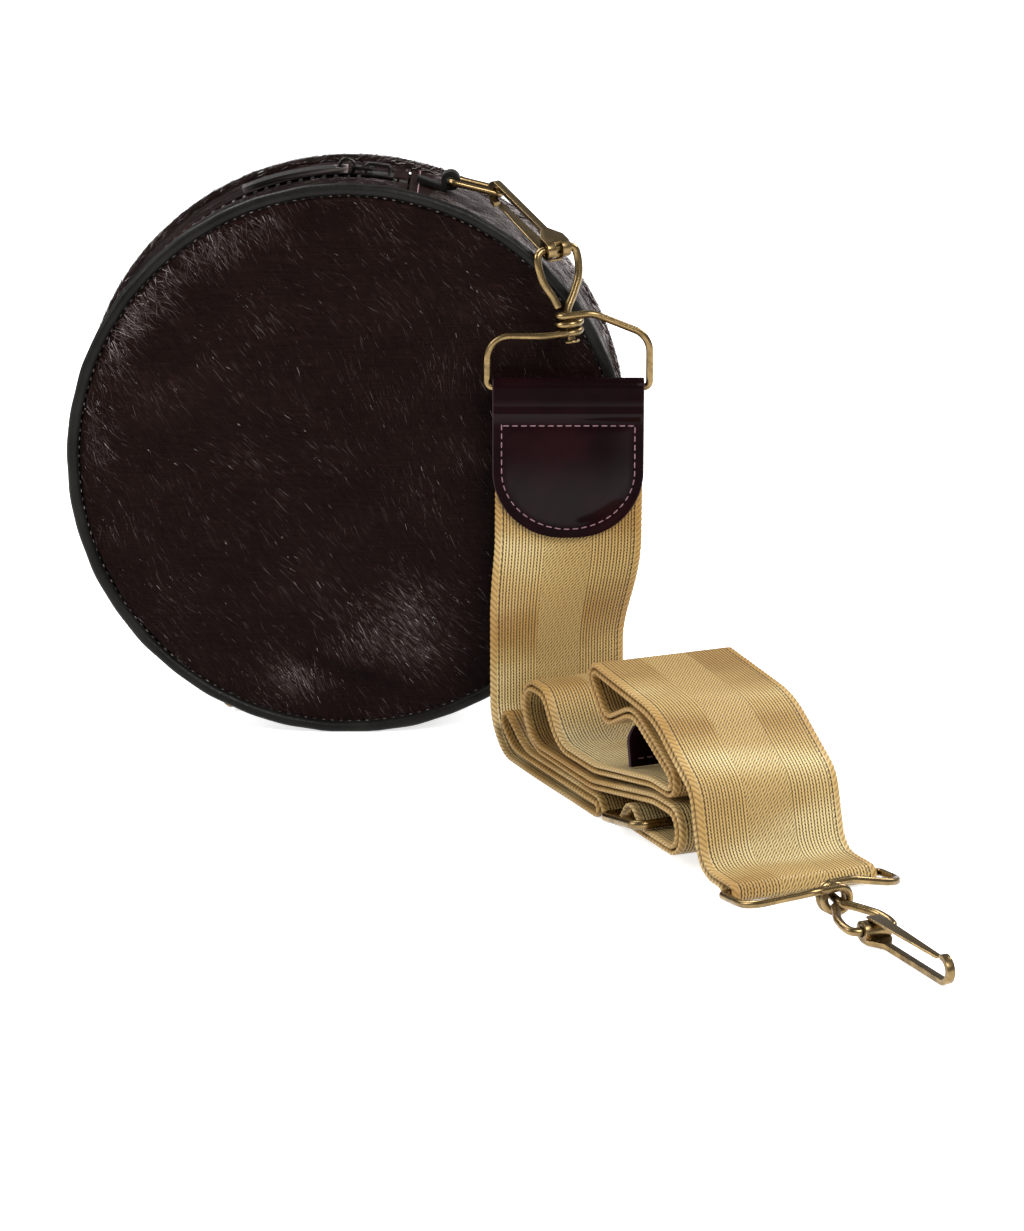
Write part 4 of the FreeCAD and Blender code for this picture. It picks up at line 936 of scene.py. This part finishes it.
# %% Hanging part
HANG = np.array([74.589641, -42.019940, 123.397065])
TUCK_Z, TAB_END_Z = HANG[2] - 13.0, HANG[2] - 51.5
FOOT = PILE + UP * FOOT_Z
drop = np.linspace(0, 1, 64)[:-1]
tucked = TUCK_Z + (TAB_END_Z - TUCK_Z) * np.linspace(0, 1, 60, endpoint=False)
hang_z = np.concatenate([tucked, TAB_END_Z + (FOOT_Z - TAB_END_Z) * drop])
eased = np.concatenate([0 * tucked, ease(drop)])
hang_turn = PILE_TURN * eased
level = 0 * hang_turn
hang_x, hang_y = (HANG[k] + (FOOT[k] - HANG[k]) * eased for k in (0, 1))
middle = np.concatenate([np.stack([hang_x, hang_y, hang_z], -1),
                         PILE + ALONG * laid[:, :1] + UP * laid[:, 1:]])
wide = np.concatenate([np.stack([np.cos(hang_turn), np.sin(hang_turn), level], -1),
                       np.broadcast_to(ACROSS, (len(laid), 3))])
face = np.concatenate([np.stack([np.sin(hang_turn), -np.cos(hang_turn), level], -1),
                       ALONG * -np.sin(laid_heading)[:, None] + UP * np.cos(laid_heading)[:, None]])
travel = np.concatenate([[0], np.cumsum(np.linalg.norm(np.diff(middle, axis=0), axis=1))])
print("webbing", round(travel[-1]), "mm long,", len(travel), "rows")

# %% [markdown]
# The weave has three bands: sides ribbed lengthwise and a middle third of fine diagonal twill. All
# of it is read from the strap's own UV map, so the ribs follow every fold. The threads are satin,
# so the roughness is lower on top of a rib. Slow patches along the strap are painted satin sheen,
# lighter where they gleam and darker brown on the side bands, and the low parts of the weave are
# painted shade. An image could hold the weave, but sine waves stay sharp at any size.

# %% Webbing finish
WAVES = 2 * math.pi
RIB, SLUB, TWILL, ROPE = WAVES / 0.00108, WAVES / 0.0011, WAVES / 0.00108, WAVES / 0.002
weave = Finish("gold_webbing", Specular_IOR_Level=0.25, Sheen_Weight=0.05, Sheen_Roughness=0.4)
weave_uv = weave.node("ShaderNodeTexCoord", out="UV")
along = weave.node("ShaderNodeSeparateXYZ", None, {0: weave_uv}, out="X")
across = weave.node("ShaderNodeSeparateXYZ", None, {0: weave_uv}, out="Y")
off_middle = abs(across)
loose = weave.noise((700, 700, 1), detail=2.0, kind="UV")
slow = weave.noise((34, 11, 1), detail=1.5, kind="UV")
# The patch sets the painted satin sheen: slow noise and a long wave, high near the strap's end.
patch = slow + ((along - float(travel[-1]) * MM) * (WAVES / 0.24) + 2.1).sine() * 0.13

slant = (along * SLUB - across * RIB + loose * 1.6).sine()
ribs = weave.curve((across * RIB + loose * 1.3).sine() + slant * 0.4, -1.0, 0.35)
threads = (along * SLUB + across * (0.5 * RIB) + loose * 3.0).sine() * 0.5 + 0.5
twill = ((along * 0.8 + across) * TWILL + loose * 2.2).sine() * 0.5 + 0.5
twist = ((along + off_middle) * ROPE).sine()
rope = twist * 0.3 + 0.6
dashes = weave.curve(abs(off_middle - 0.0221), 0.0003, 0.0006, 1.0, 0.0)
dashes = dashes * weave.curve(twist, -0.2, 0.2)

in_middle = 1 - weave.curve(off_middle, 0.0076, 0.0084)
at_edge = weave.curve(off_middle, 0.0225, 0.0232)
woven = in_middle * (twill * 0.55 + threads * 0.25 + ribs * 0.2)
woven = woven + (1 - in_middle) * (ribs * 0.72 + threads * 0.28)
height = (at_edge * rope + (1 - at_edge) * woven) * (1 - dashes * 0.5)
# Painted satin sheen: lighter gold where the patch is high; darker brown, mostly at the sides.
bright = weave.curve(patch, 0.5, 0.72, 0.0, 0.6)
gold = weave.mix(bright, colour(183, 153, 94), colour(230, 212, 160))
satin_shade = weave.curve(patch, 0.3, 0.54, 0.7, 0.0) * (1 - in_middle * 0.7)
gold = weave.mix(satin_shade, gold, colour(144, 103, 42))
# Painted shade: the low parts of the weave, its gaps and dashes, are coloured dark brown.
gold = weave.mix(weave.curve(height, 0.05, 0.8), colour(46, 29, 8), gold)
gold = weave.mix(in_middle * 0.1, gold, colour(184, 154, 94))
gold = weave.mix(at_edge * 0.45, gold, colour(160, 122, 66))
weave.feed(Base_Color=gold, Roughness=weave.curve(height, 0.0, 1.0, 0.6, 0.36))
weave.bump(height, 0.00026, 0.85)
print("weave", len(weave.tree.nodes), "nodes")

# %% [markdown]
# The webbing itself is a flat section carried along the rows. Its two edges are bound with a
# rope-like selvedge that swells and shrinks along the length, and the whole drifts a little from
# side to side. It is a closed strip.

# %% Webbing
WEB_HALF, SELVEDGE = 23.6, 1.3


def webbing(name):
    """A closed section carried along the strap: two faces, and two selvedges that swell."""
    flat = np.linspace(-WEB_HALF, WEB_HALF, 14)
    bend = np.linspace(-np.pi / 2, np.pi / 2, 6)[1:-1]
    edge_x, edge_y = WEB_HALF + SELVEDGE * np.cos(bend), 0.82 * np.sin(bend)
    across = np.concatenate([flat, edge_x, flat[::-1], -edge_x])
    thick = np.concatenate([np.full(14, -0.72), edge_y, np.full(14, 0.72), -edge_y])
    edge = np.abs(across) > WEB_HALF + 0.1
    rows = travel[:, None]
    swell = np.sin(rows * WAVES / 2.0 + np.where(across > 0, 0.0, 1.9)[None, :])
    drift = 0.35 * np.sin(rows / 41.0) + 0.2 * np.sin(rows / 13.7 + 1.0)
    shift = across[None, :] + edge * np.sign(across) * 0.1 * swell + np.clip(drift, -0.3, 0.3)
    height = thick[None, :] * (1 + edge * 0.08 * swell)
    points = middle[:, None, :] + wide[:, None, :] * shift[..., None]
    points = points + face[:, None, :] * height[..., None]
    points[..., 2] = np.maximum(points[..., 2], 0.02)
    size = points.shape[:2]
    faces = grid_faces(*size, False, True).tolist() + [cap[::-1] for cap in end_faces(*size)]
    piece = add_piece(name, points, faces, weave, "strap", ["strap_webbing"])
    uv = np.stack(np.broadcast_arrays(rows * MM, across * MM), -1)
    return with_uv(piece, uv.reshape(-1, 2))


strap = webbing("gold_strap")
print("strap", len(strap.data.polygons), "faces")

# %% [markdown]
# The strap's end is held in a tab of glossy, oxblood leather that is folded over the loop's bar.
# The leather is dark and cloudy with fine pores. Its cut edges are paler, and a clear coat shows
# where it is burnished; both are numbers stored at the vertices, so the finish knows where the
# edges are.

# %% Leather and thread finishes
tab_leather = Finish("oxblood_leather", Specular_IOR_Level=0.008, Coat_Roughness=0.08)
pores = tab_leather.noise(900, detail=4.0, rough=0.6)
clouds = tab_leather.noise(55, detail=3.0)
cut_edge, burnish = tab_leather.attribute("tone"), tab_leather.attribute("burnish")
cloudy = tab_leather.curve(clouds, 0.3, 0.75)
oxblood = tab_leather.mix(cloudy, colour(16, 6, 8), colour(28, 10, 12))
tab_leather.feed(Base_Color=tab_leather.mix(cut_edge, oxblood, colour(62, 48, 52)),
                 Roughness=tab_leather.curve(pores, 0.3, 0.75, 0.22, 0.36) + cut_edge * 0.2,
                 Coat_Weight=burnish * 0.16 + 0.015)
tab_leather.bump(pores, 0.00006, 0.35)

tab_thread = Finish("waxed_thread", Specular_IOR_Level=0.4, Roughness=0.55)
strands = tab_thread.noise(2600, detail=2.0)
tab_thread.feed(Base_Color=tab_thread.mix(strands, colour(84, 50, 58), colour(156, 122, 127)))

seam_thread = Finish("seam_thread", Specular_IOR_Level=0.3, Roughness=0.6)
seam_fleck = seam_thread.noise(300, detail=2.0)
seam_thread.feed(Base_Color=seam_thread.mix(seam_thread.curve(seam_fleck, 0.4, 0.7),
                                            colour(34, 31, 29), colour(120, 112, 108)))
print("leather and thread finishes made")

# %% [markdown]
# The tab is one strip along a path: up the front leaf, round the bar, and down the back leaf. Its
# width shrinks to a half round at both ends. A flat strip could be bent by a modifier, but the
# path states the fold directly, and the strap's end stays between the two leaves.

# %% Leather tab
ROUNDING = 0.45
SEAM_X, SEAM_TOP, ROUND_Z, SEAM_ROUND = 22.4, -12.8, -28.5, 20.0


def leather_strip(name, path, ways, half_width, wall, body, node, wide_way):
    """A strip of leather: at each path point a thin section, round-edged, with its own width."""
    bend = np.linspace(-np.pi / 2, np.pi / 2, 6)[1:-1]
    flat = np.linspace(-1, 1, 21)
    share = np.concatenate([flat, np.ones(4), flat[::-1], -np.ones(4)])
    edge = np.concatenate([np.zeros(21), np.cos(bend), np.zeros(21), np.cos(bend)])
    bow = 0.5 * np.sin(bend)
    depth = np.concatenate([np.full(21, -0.5), bow, np.full(21, 0.5), -bow]) * wall
    half = np.maximum(half_width - ROUNDING, 0.2)[:, None]
    across = (share * half + np.sign(share) * edge * ROUNDING)[..., None]
    points = path[:, None, :] + np.asarray(wide_way) * across + ways[:, None, :] * depth[:, None]
    size = points.shape[:2]
    faces = grid_faces(*size, False, True).tolist() + [cap[::-1] for cap in end_faces(*size)]
    piece = add_piece(name, points, faces, tab_leather, body, [node])
    return with_tone(piece, np.tile((edge > 0).astype(float), len(path)))


leaf_z = np.concatenate([-51.5 + 0.35 * np.linspace(0, 1, 4) ** 2, np.linspace(-51.0, ROUND_Z, 60),
                         np.linspace(-28, -6, 30)])
neck = np.linspace(0, 1, 12)[1:]
front_leaf = np.stack([np.concatenate([np.full(len(leaf_z), -1.7), -1.7 - 0.7 * ease(neck)]),
                       np.concatenate([leaf_z, -6 + 6 * neck])], -1)
over = np.linspace(np.pi, 0, 26)[1:-1]
fold_line = np.concatenate([front_leaf, np.stack([2.4 * np.cos(over), 2.4 * np.sin(over)], -1),
                            front_leaf[::-1] * np.array([-1, 1])])
fold_way = unit(np.gradient(fold_line, axis=0))
low = np.clip(fold_line[:, 1] + 51.5, 0, 23.0)
tab_half = np.where(fold_line[:, 1] > ROUND_Z, 25.5,
                    2.5 + np.sqrt(np.maximum(23.0 ** 2 - (23.0 - low) ** 2, 0)))
tab_path = HANG + np.stack([0 * low, fold_line[:, 0], fold_line[:, 1]], -1)
tab_ways = np.stack([0 * low, -fold_way[:, 1], fold_way[:, 0]], -1)
folded_tab = leather_strip("folded_tab", tab_path, tab_ways, tab_half, 1.7, "strap",
                           "leather_tab", (1, 0, 0))
print("tab", len(folded_tab.data.polygons), "faces")

# %% [markdown]
# Padded leather stands up inside its stitches, and it bends in a ridge over the strap's end. So
# the tab's points are moved outwards, more the farther they lie inside the seam. The same distance
# says where the leather is rubbed bright. A sculpted mesh would do too; this is one formula.

# %% Padding and burnish of the tab
tab_points = np.empty(len(folded_tab.data.vertices) * 3)
folded_tab.data.vertices.foreach_get("co", tab_points)
tab_points = tab_points.reshape(-1, 3)
tab_x, tab_y, tab_z = (tab_points / MM - HANG).T
in_round = SEAM_ROUND - SEAM_ROUND * np.hypot(tab_x / SEAM_X, (tab_z - ROUND_Z) / SEAM_ROUND)
in_round = np.where(tab_z < ROUND_Z, in_round, SEAM_ROUND)
within = np.minimum(np.minimum(SEAM_X - np.abs(tab_x), SEAM_TOP - tab_z), in_round)
within = np.clip(within, 0, None)
padding = 0.5 * (1 - np.exp(-within / 2.5)) + 0.55 * np.exp(-((tab_z + 9.0) / 1.9) ** 2)
tab_points[:, 1] += np.sign(tab_y) * padding * MM
folded_tab.data.vertices.foreach_set("co", tab_points.ravel())
folded_tab.data.update()
lower = np.clip((-20.0 - tab_z) / 18.0, 0, 1)
rubbed = np.clip(ease(lower) * 0.8 + np.clip((tab_x - 13.0) / 22.0, 0, 1), 0, 1)
rubbed = np.clip(within / 2.0, 0, 1) * rubbed
with_tone(folded_tab, rubbed + 0.75 * np.exp(-((tab_z + 8.5) / 3.4) ** 4), "burnish")
print("padding up to", round(float(padding.max()), 2), "mm")

# %% [markdown]
# A row of stitches is many copies of one small spindle of thread, its ends sunk in the leather.
# They are set at an even pitch along the seam's path. Instances would be lighter, but one mesh per
# row exports plainly.

# %% Stitches
STITCH_ROWS, STITCH_SIDES, STITCH_PITCH = 7, 8, 3.0


def stitch_row(name, places, ways, out, body, length=2.75, width=0.44, finish=tab_thread):
    """Raised stitches: rings of points that swell and close along a stitch, set at each place."""
    along = np.linspace(-1, 1, STITCH_ROWS)[:, None]
    turn = np.linspace(0, 2 * np.pi, STITCH_SIDES, endpoint=False)[None, :]
    swell = np.sqrt(np.clip(1 - (along * 0.98) ** 4, 0, 1))
    ends = along * length / 2 + 0 * turn
    sides = swell * np.cos(turn) * width / 2
    rise = swell * np.sin(turn) * width / 2 * 0.8 - 0.35 * along ** 4
    ways, outs = (np.broadcast_to(v, places.shape)[:, None, None, :] for v in (ways, out))
    points = (places[:, None, None, :] + ways * ends[None, ..., None]
              + np.cross(outs, ways) * sides[None, ..., None] + outs * rise[None, ..., None])
    faces = repeated_faces(len(places), STITCH_ROWS, STITCH_SIDES)
    return add_piece(name, points, faces, finish, body)


def spaced(path, pitch):
    """Places and directions at an even pitch along a path."""
    reach = np.concatenate([[0], np.cumsum(np.linalg.norm(np.diff(path, axis=0), axis=1))])
    at = np.arange(pitch / 2, reach[-1], pitch)
    places = np.stack([np.interp(at, reach, path[:, k]) for k in range(3)], -1)
    ways = np.stack([np.interp(at + 0.2, reach, path[:, k]) for k in range(3)], -1) - places
    return places, unit(ways)


round_turn = np.linspace(0, np.pi, 90)
bottom = np.stack([SEAM_X * np.cos(round_turn), 0 * round_turn,
                   ROUND_Z - SEAM_ROUND * np.sin(round_turn)], -1)
top_row = np.array([(-SEAM_X, 0, SEAM_TOP), (SEAM_X, 0, SEAM_TOP)])
u_row = np.concatenate([top_row[1:], bottom, top_row[:1]])
for name, side in (("front", -1.0), ("back", 1.0)):
    for row_name, row in (("curve", u_row), ("line", top_row)):
        places, ways = spaced(row, STITCH_PITCH)
        places = HANG + places + INTO * side * 2.55
        stitch_row(f"tab_stitch_{row_name}_{name}", places, ways, INTO * side, "strap")
        print(name, row_name, len(places), "stitches")

# %% [markdown]
# The end of the strap carries a small leather patch, which is a short strip made like the tab and
# sewn by one row of stitches. The zip's pull strip and the two ring tabs keep their CAD shape with
# softened edges.

# %% End patch, pull strip and ring tabs
PATCH_LEAN = math.radians(12)
patch_up = UP * math.cos(PATCH_LEAN) - ALONG * math.sin(PATCH_LEAN)
patch_out = ALONG * math.cos(PATCH_LEAN) + UP * math.sin(PATCH_LEAN)
patch_foot = PILE + ALONG * 104 + UP * 22.1
PATCH_CORNER, PATCH_SIDE, PATCH_HALF = 6.5, 7.5, 22.0
corner_turn = np.linspace(0, np.pi / 2, 26)
patch_h = np.concatenate([np.linspace(0, 7.4, 16), PATCH_SIDE + PATCH_CORNER * np.sin(corner_turn)])
corner = np.sqrt(np.maximum(PATCH_CORNER ** 2 - (patch_h - PATCH_SIDE) ** 2, 0))
patch_half = np.where(patch_h > PATCH_SIDE, PATCH_HALF - PATCH_CORNER + corner, PATCH_HALF)
patch_path = patch_foot + patch_up * patch_h[:, None]
leather_strip("end_leaf", patch_path, np.broadcast_to(patch_out, patch_path.shape), patch_half, 1.8,
              "strap", "end_patch", ACROSS)
patch_row = patch_foot + patch_up * 2.6 + ACROSS * np.array([[-19.5], [19.5]])
places, ways = spaced(patch_row, STITCH_PITCH)
stitch_row("patch_stitch", places + patch_out * 0.9, ways, patch_out, "strap")
softened("pull_strip", "pull_leather", 0.4, "zip_pull", pull_finish)
softened("ring_tab_a", "ring_leather_a", 0.3, "bag", trim_leather)
softened("ring_tab_b", "ring_leather_b", 0.3, "bag", trim_leather)
print("patch", len(places), "stitches")

# %% [markdown]
# Two more seams show on the bag. One crosses the side where the gusset meets the zip facings. The
# other is the fine row inside each piping, close to the panel's edge. Both are rows of the same
# stitch, placed round the drum's axis.

# %% Seams of the bag
seam_out, _ = round_way(75.2)
seam_places = AXIS + seam_out * 93.7 + INTO * np.arange(-26.0, 26.1, STITCH_PITCH)[:, None]
stitch_row("gusset_stitch", seam_places, INTO, seam_out, "bag")
rim_out, rim_way = round_way(np.arange(0, 360, 1.9))
for name, side in (("front", -1.0), ("back", 1.0)):
    rim_places = AXIS + INTO * side * 31.5 + rim_out * 91.35
    stitch_row(f"rim_stitch_{name}", rim_places, -rim_way, INTO * side, "bag", 1.2, 0.34,
               seam_thread)
print("rim seams", len(rim_places), "stitches each")

# %% [markdown]
# The teeth are small rounded blocks with a narrow nose, one row on each tape, nose to nose over
# the slot. One block, a grid of 6 by 10 points, is worked out once and repeated round the arc at
# an even angle. An Array modifier could repeat it; one array of angles needs no modifier.

# %% Zip teeth
TOOTH_ROWS, TOOTH_SIDES, TEETH = 6, 10, 61
TOOTH_R, TOOTH_HALF = 92.3, 0.78


def zip_teeth(name, side, node):
    """Teeth on one tape: a rounded block that narrows to its nose, set at an even angle."""
    u = np.linspace(0, 1, TOOTH_ROWS)[:, None]
    v = np.linspace(0, 2 * np.pi, TOOTH_SIDES, endpoint=False)[None, :]
    boxed = [np.sign(w) * np.abs(w) ** 0.55 for w in (np.cos(v), np.sin(v))]
    across = TOOTH_HALF * (1 - 0.3 * u ** 3) * np.where(u > 0.99, 0.72, 1.0) * boxed[0]
    radius = TOOTH_R + TOOTH_HALF * np.where(u > 0.99, 0.75, 1.0) * boxed[1]
    reach = side * (2.7 - 2.37 * u)
    turn = np.radians(80.3 + np.arange(TEETH) * (149.4 / (TEETH - 1)))[:, None, None]
    x = radius * np.cos(turn) - across * np.sin(turn)
    z = AXIS_Z + radius * np.sin(turn) + across * np.cos(turn)
    points = np.stack(np.broadcast_arrays(x, reach, z), -1)
    faces = repeated_faces(TEETH, TOOTH_ROWS, TOOTH_SIDES)
    return add_piece(name, points, faces, gunmetal, "bag", [node], smooth=False)


teeth_front = zip_teeth("teeth_front", -1, "zip_teeth_front")
zip_teeth("teeth_back", 1, "zip_teeth_back")
softened("zip_stops", "stop_clips", 0.25, "bag", gunmetal)
print("teeth", TEETH, "in a row,", len(teeth_front.data.polygons), "faces")

# %% [markdown]
# Inside, a plain woven lining covers the boards, with a patch pocket on the back. These CAD solids
# already have the right shape, so they stay and only get a cloth or board finish.

# %% Lining
lining = Finish("lining_cloth", Specular_IOR_Level=0.2, Roughness=0.8)
weft = lining.noise((900, 900, 2600), detail=2.0)
warp = lining.noise((2600, 900, 900), detail=2.0)
cloth = weft * 0.5 + warp * 0.5
lining.feed(Base_Color=lining.mix(cloth, colour(86, 68, 60), colour(132, 110, 98)))
lining.bump(weft + warp, 0.0001, 0.5)
board = Finish("grey_board", Roughness=0.8)
board_fleck = board.noise(500, detail=4.0)
board.feed(Base_Color=board.mix(board_fleck, colour(120, 116, 108), colour(150, 146, 136)))
INSIDE = {"front_lining": lining, "back_lining": lining, "gusset_lining": lining,
          "inner_pocket": lining, "front_board": board, "back_board": board}
for node, finish in INSIDE.items():
    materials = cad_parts[node].data.materials
    materials.clear()
    materials.append(finish.material)
print("inside", len(INSIDE), "solids finished")

# %% [markdown]
# The studio is a white floor under a white sky, with soft light from the front right, the left,
# above and behind. The floor is an ordinary pale surface that takes the object's shadow, with a
# glow that only camera, glossy and transmission rays see: it looks white to the camera and in the
# metal, but throws no diffuse light on the bag.

# %% Floor
EXTENT, FLOOR_Z = 40.0, -0.0005
floor_finish = Finish("studio_floor", Roughness=0.9, Specular_IOR_Level=0.1,
                      Base_Color=(0.9, 0.9, 0.9, 1), Emission_Strength=0.75)
seen = [floor_finish.node("ShaderNodeLightPath", out=f"Is {kind} Ray")
        for kind in ("Camera", "Glossy", "Transmission")]
floor_finish.feed(Emission_Color=seen[0] + seen[1] + seen[2])
floor_mesh = bpy.data.meshes.new("floor")
corners = ((-1, -1), (1, -1), (1, 1), (-1, 1))
floor_mesh.from_pydata([(x * EXTENT, y * EXTENT, FLOOR_Z) for x, y in corners], [], [(0, 1, 2, 3)])
floor = bpy.data.objects.new("floor", floor_mesh)
floor.data.materials.append(floor_finish.material)
SCENE.collection.objects.link(floor)
world = bpy.data.worlds.new("studio")
SCENE.world = world
world.use_nodes = True
sky = world.node_tree.nodes["Background"]
sky.inputs["Color"].default_value = (1, 1, 1, 1)
sky.inputs["Strength"].default_value = 0.28
print("floor", 2 * EXTENT, "m wide, sky strength", round(sky.inputs["Strength"].default_value, 2))

# %% [markdown]
# Four square area lamps stand round the bag. Each has a place, a point it is aimed at, a power in
# watts and a size in metres: large lamps give the soft shadow edges of a studio.

# %% Lamps
LAMPS = (("key", (0.75, -1.3, 1.3), (0.08, -0.08, 0.08), 34, 0.8),
         ("left", (-1.3, -0.3, 0.9), (0.05, 0, 0.1), 14, 0.7),
         ("top", (-0.6, 0.7, 1.3), (0.05, 0, 0.1), 18, 0.8),
         ("rim", (1.1, 0.6, 1.0), (0.08, 0, 0.15), 14, 0.5))
for name, place, aim, power, size in LAMPS:
    lamp_data = bpy.data.lights.new(name, "AREA")
    lamp_data.energy = power
    lamp_data.size = size
    lamp = bpy.data.objects.new(name, lamp_data)
    lamp.location = place
    x, y, z = np.array(aim) - np.array(place)
    lamp.rotation_euler = (math.atan2(math.hypot(x, y), -z), 0, math.atan2(y, x) - math.pi / 2)
    SCENE.collection.objects.link(lamp)
print("lamps", len(LAMPS))
